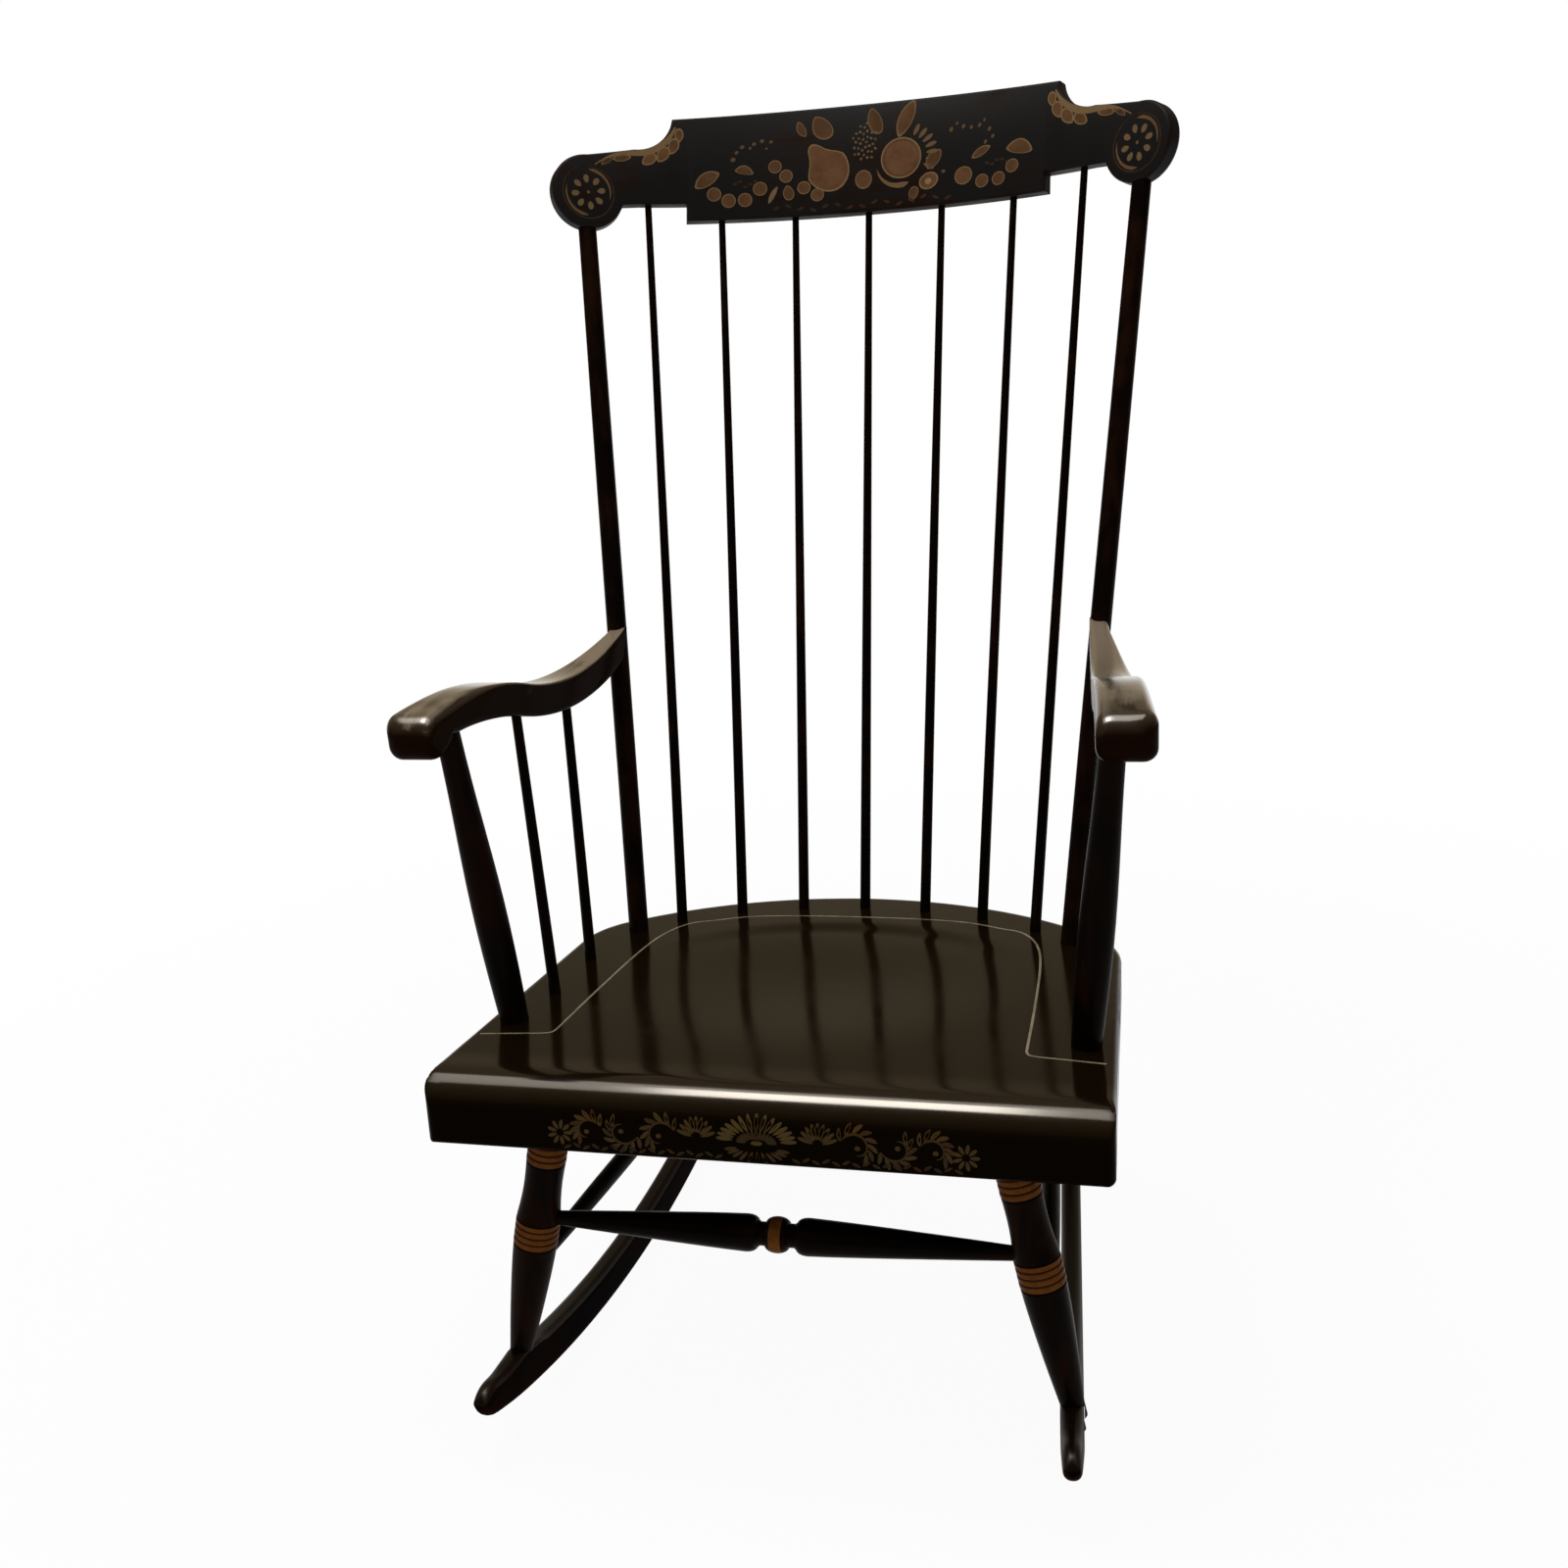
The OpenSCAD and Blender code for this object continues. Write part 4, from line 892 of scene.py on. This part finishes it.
class CHAIR_OT_fasteners(bpy.types.Operator):
    """Finish of the wooden pins and of the screws"""
    bl_idname = "chair.fasteners"
    bl_label = "Pins and screws"

    def execute(self, context):
        colours = context.scene.chair_finishes
        dress(["rocker_pins", "crest_pins"], lacquered(
            "Pin lacquer", [c * 1.4 for c in colours.lacquer], colours.undertone, (1.0, 1.0, 1.0),
            0.45, 0.42))
        made = finish("Dark steel", {"Metallic": 0.9, "IOR": 1.5}, 0.00005, 0.3)
        tree, shader, relief, where = made[1:]
        dust = noise(tree, (-500, 0), where, 300.0, 4.0)
        feed(tree, relief, {"Height": dust})
        feed(tree, shader, {
            "Base Color": mix_colour(tree, (-200, 100), dust, (0.2, 0.18, 0.16, 1),
                                     (0.09, 0.06, 0.045, 1)),
            "Roughness": maths(tree, (-200, -100), "MULTIPLY_ADD", dust, 0.3, 0.3)})
        dress(["arm_screws"], made)
        return {"FINISHED"}


# Stencils are cut flat, in millimetres, and then laid on the lacquer
def leaf_form(x, y, lean):
    return y * abs(y) ** 0.45 + lean * (1 - x * x)


def drop_form(x, y, lean):
    return y * (1 - 0.45 * (x + 1) / 2 * (1 + x * x) / 2) + lean * (1 - x * x)


def pear_form(x, y, lean):
    return y * (1 - 0.5 * eased(part_of(x, -0.1, 0.65)))


def berry_form(x, y, lean):
    return y


# Each form turns a place on a circle into a height, and its length stays as it is
FORMS = {"leaf": leaf_form, "drop": drop_form, "pear": pear_form, "berry": berry_form}


class Stencil:
    """Flat motifs that are later thickened and laid on a surface"""

    def __init__(self):
        self.bm = bmesh.new()
        self.rim = self.bm.verts.layers.float.new("rim")
        self.tone = self.bm.verts.layers.float.new("tone")
        self.count = 0

    def lift(self):
        self.count += 1
        return 0.02 * (self.count % 5)

    def motif(self, form, x, y, length, width, turn=0.0, lean=0.0, tone=0.6, edge=0.0, glow=1.0):
        """One closed shape, with a brighter rim where edge is its width in millimetres"""
        n = 10 if length < 6 else (20 if length < 18 else 32)
        made = bmesh.ops.create_circle(self.bm, cap_ends=True, segments=n, radius=1.0)
        z, a = self.lift(), radians(turn)
        verts = made["verts"]
        for v in verts:
            t = atan2(v.co.y, v.co.x)
            u, w = length / 2 * cos(t), width / 2 * FORMS[form](cos(t), sin(t), lean)
            v.co = (x + u * cos(a) - w * sin(a), y + u * sin(a) + w * cos(a), z)
            v[self.rim], v[self.tone] = glow, tone
        face = verts[0].link_faces[0]
        if edge > 0:
            share, size = edge / (min(length, width) / 2), 1.0
            for inner, bright in ((1 - 0.6 * share, 0.8), (1 - share, 0.25),
                                  (1 - 1.9 * share, 0.0)):
                bmesh.ops.inset_individual(self.bm, faces=[face], thickness=0.001)
                bmesh.ops.scale(self.bm, vec=(inner / size, inner / size, 1), verts=face.verts[:],
                                space=Matrix.Translation((-x, -y, 0)))
                size = inner
                for v in face.verts:
                    v[self.rim] = glow * bright

    def fan(self, x, y, rx, ry, angles, length, width, tone, glow, squash=1.0):
        """Drops that stand round a place and point to it"""
        for a in angles:
            c, s = cos(radians(a)), sin(radians(a))
            self.motif("drop", x + rx * c, y + ry * s, length, width,
                       degrees(atan2(squash * s, c)) + 180, tone=tone, glow=glow)

    def ribbon(self, path, width, tone=0.6, rim=0.6):
        """A strip along a path; width gives half its width, from 0 to 1 along it"""
        z = self.lift()
        bm, n = self.bm, len(path) - 1
        edge = None
        for i, (x, y) in enumerate(path):
            ax, ay = path[max(0, i - 1)]
            bx, by = path[min(n, i + 1)]
            size = hypot(bx - ax, by - ay) or 1.0
            half = width(i / n)
            nx, ny = -(by - ay) / size * half, (bx - ax) / size * half
            ends = ((x + nx, y + ny, z), (x - nx, y - ny, z))
            if edge is None:
                edge = bm.edges.new([bm.verts.new(end) for end in ends])
                order = list(edge.verts)
            else:
                made = bmesh.ops.extrude_edge_only(bm, edges=[edge])["geom"]
                edge = [g for g in made if isinstance(g, bmesh.types.BMEdge)][0]
                order = [[e.other_vert(v) for e in v.link_edges
                          if e.other_vert(v) in edge.verts][0] for v in order]
                for v, co in zip(order, ends):
                    v.co = co
            for v in order:
                v[self.rim], v[self.tone] = rim, tone

    def curl(self, x, y, r, start, sweep, w0, w1, shrink=0.0, tone=0.5, rim=0.6, n=18):
        """A curved stroke round a centre, from one width to another"""
        path = [(x + r * (1 - shrink * i / n) * cos(radians(start + sweep * i / n)),
                 y + r * (1 - shrink * i / n) * sin(radians(start + sweep * i / n)))
                for i in range(n + 1)]
        self.ribbon(path, lambda t: (w0 + (w1 - w0) * t) / 2 * min(
            1, 6 * t + 0.15, 6 * (1 - t) + 0.15), tone, rim)

    def lay(self, name, material, surface, height):
        """Thickens the motifs and lays them on a surface given by two places and a height"""
        bm = self.bm
        bmesh.ops.recalc_face_normals(bm, faces=bm.faces[:])
        down = [f for f in bm.faces if f.normal.z < 0]
        if down:
            bmesh.ops.reverse_faces(bm, faces=down)
        made = bmesh.ops.extrude_face_region(bm, geom=bm.faces[:])
        upper = {g for g in made["geom"] if isinstance(g, bmesh.types.BMVert)}
        for v in bm.verts:
            lift = height * (1 + 8 * v.co.z) if v in upper else -0.0003
            v.co = surface(v.co.x * 0.001, v.co.y * 0.001, lift)
        return piece(bm, name, material, sharp=50)


def bronze_material(name, body, rim_colour, warm):
    mat, tree, shader, relief, where = finish(
        name, {"Metallic": 0.0, "IOR": 1.5, "Specular IOR Level": 0.06}, 0.00004, 0.3)
    wear_look(tree, shader, relief, place_group(
        tree, "Bronze powder", bronze_group, (-300, 0), {
            "Position": where, "Bronze": rgba(body), "Rim colour": rgba(rim_colour),
            "Warm colour": rgba(warm), "Rim": attribute(tree, (-700, -300), "rim"),
            "Tone": attribute(tree, (-700, -500), "tone")}))
    return mat


def berries(st, places, size, tone=0.6):
    for x, y in places:
        st.motif("berry", x, y, size, size * 0.95, 20, tone=tone, edge=1.1)


def specks(st, places, flat, turn):
    """Small faint dots"""
    for x, y, size in places:
        st.motif("berry", x, y, size, size * flat, turn, tone=0.34, glow=0.7)


def rosette(st, x, y, r):
    """Eight petals inside a ring, with two brighter crescents"""
    st.curl(x, y, r * 0.98, 100, 359.9, 0.9, 0.9, tone=0.22, rim=0.4, n=48)
    st.fan(x, y, r * 0.5, r * 0.5, range(10, 370, 45), r * 0.31, r * 0.24, 0.5, 0.8)
    st.curl(x, y, r * 0.85, -15, 105, 1.2, 3.6, tone=0.5)
    st.curl(x, y, r * 0.85, 165, 105, 1.2, 3.6, tone=0.45)
    st.motif("berry", x, y, r * 0.12, r * 0.12, tone=0.4)


def shoulder_leaf(st, m):
    """Scalloped leaf inside the hollow of the shoulder, with a stem towards the ear"""
    def place(angle, inset):
        s, h = cove_place(angle, inset * 0.001)
        return m * s * 1000, h * 1000

    stem = [place(a, 4.6) for a in (197, 212, 228, 246, 262)]
    stem += [(m * 245, 56.0), (m * 257, 52.5), (m * 267, 46.5), (m * 273, 42)]
    st.ribbon(smooth_path(stem, 2), lambda t: 0.5 + 2.8 * sin(pi * min(1, t + 0.1)) ** 2,
              tone=0.7, rim=0.7)
    for angle, inset, size in ((205, 10.5, 14), (220, 12, 17), (236, 12, 18), (253, 11.5, 17)):
        x, y = place(angle, inset)
        st.motif("drop", x, y, size, size * 0.72, (angle + 70) if m > 0 else (110 - angle),
                 tone=0.7, edge=1.6)
    st.motif("leaf", m * 246, 51.0, 19, 8.5, -12 * m, 0.2, 0.6, 1.2)
    st.motif("leaf", m * 261, 46.5, 14, 5.4, -34 * m, 0.2, 0.42, 0.9)


class CHAIR_OT_crest_stencils(bpy.types.Operator):
    """Fruit, leaves and rosettes stencilled on the crest rail in bronze powder"""
    bl_idname = "chair.crest_stencils"
    bl_label = "Crest stencils"

    def execute(self, context):
        shapes, colours = chosen(context)
        st = Stencil()
        m = st.motif
        # Left spray
        m("leaf", -161, 34, 29, 13.5, 33, 0.2, 0.55, 1.3)
        berries(st, [(-154, 20.5), (-139.5, 14.5), (-123, 15.5), (-108, 26.5)], 14.5)
        m("leaf", -124, 43, 19, 9, -8, 0.5, 0.5, 1.1)
        specks(st, ((-135, 55, 5.4), (-131.5, 62, 4.2), (-126, 67.5, 4.6), (-118, 66.5, 3.4),
                    (-114, 70.5, 4.4), (-106, 73.5, 4.6), (-97, 72.5, 3.8), (-101.5, 66, 2.8)),
               0.8, 30)
        for k in range(6):
            m("berry", -133 + 5.2 * k, 31 + 3 * sin(k * 2.1), 4.6, 2.4, 40 - 14 * k,
              tone=0.2, glow=0.3)
        berries(st, [(-93, 48), (-82, 38.5), (-64, 26.5), (-50.5, 19)], 13.5, 0.62)
        m("drop", -79.5, 22, 15, 12.5, 100, 0.0, 0.55, 1.1)
        m("leaf", -95, 20, 19, 5, 62, 0.2, 0.55)
        # Pear with its leaves
        m("pear", -42, 46.5, 53, 44, 126, 0.0, 0.72, 1.7)
        m("leaf", -66, 84, 17, 9, 118, 0.2, 0.5, 1.0)
        m("drop", -45, 85, 26, 21, 128, 0.15, 0.58, 1.3)
        # Flower head of small dots between the fruits, set by the golden angle
        for k in range(34):
            a, q = radians(137.5 * k), 2.6 * sqrt(k + 0.4)
            m("berry", -2.5 + 0.86 * q * cos(a), 67.5 + 1.25 * q * sin(a), 3.0, 2.4, 40 * k,
              tone=0.36 + 0.1 * (k % 3), glow=0.75)
        m("berry", -4, 31, 17, 18.5, 0, 0.0, 0.6, 1.3)
        m("drop", 8, 87, 27, 16, 108, 0.1, 0.5, 1.1)
        m("leaf", 39.5, 86, 38, 15, 64, 0.1, 0.6, 1.2)
        # Peach with its rim, a crescent under it and drops round it
        m("berry", 34, 48.5, 41, 40, 0, 0.0, 0.72, 1.5)
        st.curl(34, 48.5, 17.2, 0, 359.9, 0.8, 0.8, tone=0.3, rim=0.1, n=40)
        st.curl(31.5, 44.5, 22.5, 192, 104, 1.2, 6.4, tone=0.62)
        st.fan(35.5, 50, 30, 27, range(62, -29, -15), 12, 4.8, 0.46, 0.7)
        m("leaf", 67.5, 43, 22, 13, 52, 0.15, 0.5, 1.1)
        m("berry", 62, 23, 20, 16, 20, 0.0, 0.7, 1.5)
        m("berry", 61.5, 22.5, 7, 6, 20, 0.0, 0.85)
        m("drop", 46.5, 12.5, 14, 11, 250, 0.0, 0.5, 1.0)
        m("berry", 77, 30, 4, 3.4, tone=0.3)
        # Right spray
        berries(st, [(97.5, 23)], 18.0, 0.68)
        berries(st, [(116.5, 15), (133.5, 14.5), (147.5, 24)], 13.5)
        m("leaf", 155, 38, 28, 14, -14, 0.45, 0.6, 1.3)
        m("leaf", 115.5, 42.5, 21, 8.5, 24, 0.15, 0.52, 1.1)
        specks(st, ((85, 69, 5.0), (91, 74, 3.4), (97.5, 70, 4.6), (105.5, 68, 4.0),
                    (114, 68.5, 4.4), (119, 72.5, 3.4), (124, 63, 4.6), (127.5, 55.5, 4.2),
                    (120, 51.5, 4.2)), 0.75, 60)
        for k in range(5):
            m("berry", 122 + 5 * k, 31 - 2 * sin(k * 1.9), 4.6, 2.4, -30 + 15 * k,
              tone=0.2, glow=0.3)
        # Faint sprigs under the fruits
        for k in range(15):
            m("leaf", -92 + 12.4 * k, 6.5 + 2.2 * sin(k * 1.7), 7.5, 3.0, 25 * (-1) ** k,
              tone=0.16, glow=0.2)
        for side in (-1, 1):
            rosette(st, side * 279.5, 14.5, 26)
            shoulder_leaf(st, side)
        mat = bronze_material("Crest bronze", colours.gilt, colours.gilt_rim,
                              (0.135, 0.064, 0.028))
        st.lay("crest_stencils", mat,
               lambda s, h, up: crest_point(s, h, -up), shapes.paint_height)
        return {"FINISHED"}


def seat_front_point(x, w, up):
    """A place on the rolled front edge, at a height w below the seat's top"""
    foot = ROLL_FOOT_R - ROLL_H
    for r, z, inside in ((ROLL_R, -ROLL_R, w > -ROLL_R), (ROLL_FOOT_R, foot, w < foot)):
        if inside:
            n = Vector((-sqrt(max(0.0, r * r - (w - z) ** 2)), w - z)) / r
            return deck(x, r + n.x * (r + up), z + n.y * (r + up))
    return deck(x, -up, w)


class CHAIR_OT_seat_stencil(bpy.types.Operator):
    """Band of blossoms and leaf scrolls on the seat's front edge"""
    bl_idname = "chair.seat_stencil"
    bl_label = "Seat stencil"

    def execute(self, context):
        shapes, colours = chosen(context)
        st = Stencil()
        m = st.motif
        middle, squash = 5, 0.62
        for a in range(6, 175, 12):
            st.fan(middle, -36, 25, 14.5, (a,), 13, 3.6, 0.62, 0.8, squash)
            st.fan(middle, -37, 12, 6.5, (a,), 8, 2.4, 0.4, 0.4, squash)
        st.fan(middle, -40, 21, 9, range(-15, -166, -15), 10, 3.0, 0.42, 0.5, squash)
        m("berry", middle, -37, 9, 3.6, tone=0.6, glow=0.8)
        for side in (-1, 1):
            # A blossom beside the middle one, then scrolls with leaves and a last blossom
            st.fan(middle + side * 47, -36, 10, 11, [20 + 17.5 * k for k in range(9)], 12, 3.4,
                   0.5, 0.6)
            for i, (x, r, start, sweep) in enumerate((
                    (76, 12.5, 155, -250), (106, 12.0, -160, 250), (134, 11.0, 150, -230))):
                a0 = start if side > 0 else 180 - start
                cx, cy, turn = middle + side * x, -35.5 + (1.5 if i % 2 else -0.5), sweep * side
                st.curl(cx, cy, r, a0, turn, 2.2, 0.8, 0.55, tone=0.45, rim=0.5)
                m("berry", cx + side, cy, 4.4, 3.8, tone=0.5, glow=0.6)
                for k in range(8):
                    a = a0 + turn * (k + 0.5) / 9
                    q = r * (1 - 0.5 * k / 9) + 3.4
                    m("leaf", cx + q * cos(radians(a)), cy + q * sin(radians(a)), 10.0, 3.4,
                      a + 46 * (1 if turn > 0 else -1), 0.3, tone=0.36 + 0.14 * ((k + i) % 3),
                      glow=0.5)
            st.fan(middle + side * 157, -38, 6.6, 6.6, range(0, 360, 40), 7.6, 3.4, 0.5, 0.6)
            for k in range(17):
                m("leaf", middle + side * (30 + 7.6 * k), -49.5 + 1.4 * (k % 2), 7.2, 2.6,
                  side * (30 if k % 2 else -26), tone=0.3, glow=0.25)
        gilt = colours.seat_gilt
        mat = bronze_material("Seat bronze", gilt, [c * 1.9 for c in gilt], (0.085, 0.028, 0.006))
        st.lay("seat_front_stencil", mat, seat_front_point, shapes.paint_height)
        return {"FINISHED"}


class CHAIR_OT_seat_stripe(bpy.types.Operator):
    """Thin pale stripe round the hollow of the seat"""
    bl_idname = "chair.seat_stripe"
    bl_label = "Seat stripe"

    def execute(self, context):
        shapes, colours = chosen(context)
        half = [(0, 421), (50, 420), (96, 416), (121, 409), (143, 397), (162, 391), (176, 370),
                (185, 338), (189.5, 290), (192, 230), (194, 170), (195, 120), (195.5, 104),
                (201, 100), (225, 97), (257, 92.5)]
        st = Stencil()
        st.ribbon(smooth_path([(-x, y) for x, y in reversed(half)] + half[1:], 3),
                  lambda t: shapes.stripe_width * 500)

        def surface(x, v, up):
            return deck(x, v, up - sum(seat_top(x, v, shapes.hollow_depth, shapes.hollow_slope)))
        mat, tree, shader, relief, where = finish(
            "Stripe paint", {"Roughness": 0.3, "IOR": 1.5, "Coat Weight": 0.3}, 0.00003, 0.2)
        worn = noise(tree, (-500, 0), where, 60.0, 5.0, 0.7)
        feed(tree, relief, {"Height": worn})
        feed(tree, shader, {"Base Color": mix_colour(
            tree, (-200, 0), ramp(tree, (-350, 0), worn, 0.3, 0.62),
            rgba(colours.stripe, 0.45), rgba(colours.stripe))})
        st.lay("seat_stripe", mat, surface, 0.00012)
        return {"FINISHED"}


# Stage with a fitted camera, a plain floor and plain lamps
FRAME_SIZE, FOCAL, FRAME_CENTRE = 1600, 1629.084, (803.4, 820.69)
EYE = (0.3177, -1.33577, 0.91934)
YAW, PITCH, ROLL = radians(-15.0199), radians(-18.6183), radians(-4.3331)


class CHAIR_OT_stage(bpy.types.Operator):
    """Floor, soft studio light and camera"""
    bl_idname = "chair.stage"
    bl_label = "Studio stage"

    def execute(self, context):
        scene, stage = context.scene, context.scene.studio_stage
        self.floor(scene, stage)
        self.light(scene, stage)
        camera = bpy.data.objects.new("Camera", bpy.data.cameras.new("Camera"))
        scene.collection.objects.link(camera)
        ahead = Vector((sin(YAW) * cos(PITCH), cos(YAW) * cos(PITCH), sin(PITCH)))
        side = ahead.cross(Vector((0, 0, 1))).normalized()
        up = side.cross(ahead)
        right, top = side * cos(ROLL) + up * sin(ROLL), up * cos(ROLL) - side * sin(ROLL)
        turn = Matrix((right, top, -ahead)).transposed().to_4x4()
        camera.matrix_world = Matrix.Translation(EYE) @ turn
        lens = camera.data
        lens.sensor_width = 36
        lens.lens = FOCAL / FRAME_SIZE * lens.sensor_width
        lens.shift_x = (FRAME_SIZE / 2 - FRAME_CENTRE[0]) / FRAME_SIZE
        lens.shift_y = (FRAME_CENTRE[1] - FRAME_SIZE / 2) / FRAME_SIZE
        lens.clip_start = 0.05
        scene.camera = camera
        scene.view_settings.view_transform = "Standard"
        return {"FINISHED"}

    def floor(self, scene, stage):
        """A round floor, white to the camera and in reflections, and plain paint for light"""
        bm = bmesh.new()
        bmesh.ops.create_circle(bm, cap_ends=True, segments=96, radius=30.0)
        mesh = bpy.data.meshes.new("studio_floor")
        bm.to_mesh(mesh)
        bm.free()
        floor = bpy.data.objects.new("studio_floor", mesh)
        scene.collection.objects.link(floor)
        mat = bpy.data.materials.new("Pale floor")
        tree = cleared(mat)
        paint = add(tree, "ShaderNodeBsdfPrincipled", (-100, 100),
                    {"Base Color": rgba(stage.floor), "Roughness": 0.9, "Specular IOR Level": 0.1})
        white = add(tree, "ShaderNodeEmission", (-100, -150), {"Strength": 1.0})
        path = add(tree, "ShaderNodeLightPath", (-700, 500)).outputs
        seen = maths(tree, (-450, 450), "MAXIMUM", path["Is Camera Ray"],
                     maths(tree, (-600, 300), "MAXIMUM", path["Is Glossy Ray"],
                           path["Is Transmission Ray"]))
        where = add(tree, "ShaderNodeTexCoord", (-900, 100)).outputs["Object"]
        length = add(tree, "ShaderNodeVectorMath", (-700, 100), {0: where}, operation="LENGTH")
        far = ramp(tree, (-500, 100), length.outputs["Value"], 0.5, 1.8)
        share = maths(tree, (-300, 200), "MULTIPLY_ADD", far, 0.05, 0.95)
        mix = add(tree, "ShaderNodeMixShader", (350, 0), {
            0: maths(tree, (-100, 350), "MULTIPLY", share, seen),
            1: paint.outputs[0], 2: white.outputs[0]})
        add(tree, "ShaderNodeOutputMaterial", (600, 0), {"Surface": mix.outputs[0]})
        mesh.materials.append(mat)

    def light(self, scene, stage):
        """Plain light from all sides, a white backdrop and a dim ceiling in reflections"""
        scene.world = bpy.data.worlds.new("Studio")
        tree = cleared(scene.world)
        path = add(tree, "ShaderNodeLightPath", (-800, 300)).outputs
        mirrored = maths(tree, (-600, 150), "MAXIMUM", path["Is Glossy Ray"],
                         path["Is Transmission Ray"])
        where = add(tree, "ShaderNodeTexCoord", (-1000, -100)).outputs["Generated"]
        axes = add(tree, "ShaderNodeSeparateXYZ", (-800, -100), {0: where}).outputs
        swept = maths(tree, (-700, -200), "MULTIPLY_ADD", axes["Y"], -0.2, axes["Z"])
        high = ramp(tree, (-600, -100), swept, -0.4, 0.1)
        backdrop = maths(tree, (-400, -100), "MULTIPLY_ADD", high, stage.ceiling - 1.0, 1.0)
        plain = maths(tree, (-400, 150), "MULTIPLY",
                      maths(tree, (-600, 0), "SUBTRACT", 1.0, mirrored), stage.sky)
        strength = maths(tree, (0, 0), "MAXIMUM", path["Is Camera Ray"], maths(
            tree, (-200, 0), "MULTIPLY_ADD", mirrored, backdrop, plain))
        colour = mix_colour(tree, (0, 250), maths(tree, (-200, 250), "MULTIPLY", high, mirrored),
                            (1, 1, 1, 1), rgba(stage.ceiling_colour))
        sky = add(tree, "ShaderNodeBackground", (200, 0), {"Color": colour, "Strength": strength})
        add(tree, "ShaderNodeOutputWorld", (500, 0), {"Surface": sky.outputs[0]})
        for name, place, size, power in (
                ("key", (-0.55, -0.25, 3.2), (0.95, 0.9), stage.key_power),
                ("fill", (-0.3, -0.05, 3.3), (3.2, 1.5), stage.fill_power)):
            lamp = bpy.data.lights.new(name, "AREA")
            lamp.shape, lamp.size, lamp.size_y = "RECTANGLE", size[0], size[1]
            lamp.energy, lamp.color = power, (1, 0.98, 0.95)
            obj = bpy.data.objects.new(name, lamp)
            scene.collection.objects.link(obj)
            obj.location = place
            down = Vector((0, 0, -place[2]))
            obj.rotation_euler = down.to_track_quat("-Z", "Y").to_euler()


STEPS = (CHAIR_OT_seat, CHAIR_OT_crest_rail, CHAIR_OT_arms, CHAIR_OT_back, CHAIR_OT_arm_supports,
         CHAIR_OT_legs, CHAIR_OT_stretchers, CHAIR_OT_rockers, CHAIR_OT_fasteners,
         CHAIR_OT_crest_stencils, CHAIR_OT_seat_stencil, CHAIR_OT_seat_stripe, CHAIR_OT_stage)
GROUPS = (ChairShapes, ChairFinishes, StudioStage)


class CHAIR_PT_build(bpy.types.Panel):
    """Lists the pieces of the chair and their settings"""
    bl_label = "Rocking Chair"
    bl_idname = "CHAIR_PT_build"
    bl_space_type = "VIEW_3D"
    bl_region_type = "UI"
    bl_category = "Rocking Chair"

    def draw(self, context):
        for step in STEPS:
            self.layout.operator(step.bl_idname)
        for group in (context.scene.chair_shapes, context.scene.chair_finishes,
                      context.scene.studio_stage):
            box = self.layout.box()
            for name in group.__annotations__:
                box.prop(group, name)


def register():
    for cls in GROUPS + STEPS + (CHAIR_PT_build,):
        bpy.utils.register_class(cls)
    bpy.types.Scene.chair_shapes = PointerProperty(type=ChairShapes)
    bpy.types.Scene.chair_finishes = PointerProperty(type=ChairFinishes)
    bpy.types.Scene.studio_stage = PointerProperty(type=StudioStage)


def unregister():
    del bpy.types.Scene.studio_stage
    del bpy.types.Scene.chair_finishes
    del bpy.types.Scene.chair_shapes
    for cls in reversed(GROUPS + STEPS + (CHAIR_PT_build,)):
        bpy.utils.unregister_class(cls)


def main():
    register()
    for step in STEPS:
        group, name = step.bl_idname.split(".")
        getattr(getattr(bpy.ops, group), name)()


if __name__ == "__main__":
    main()
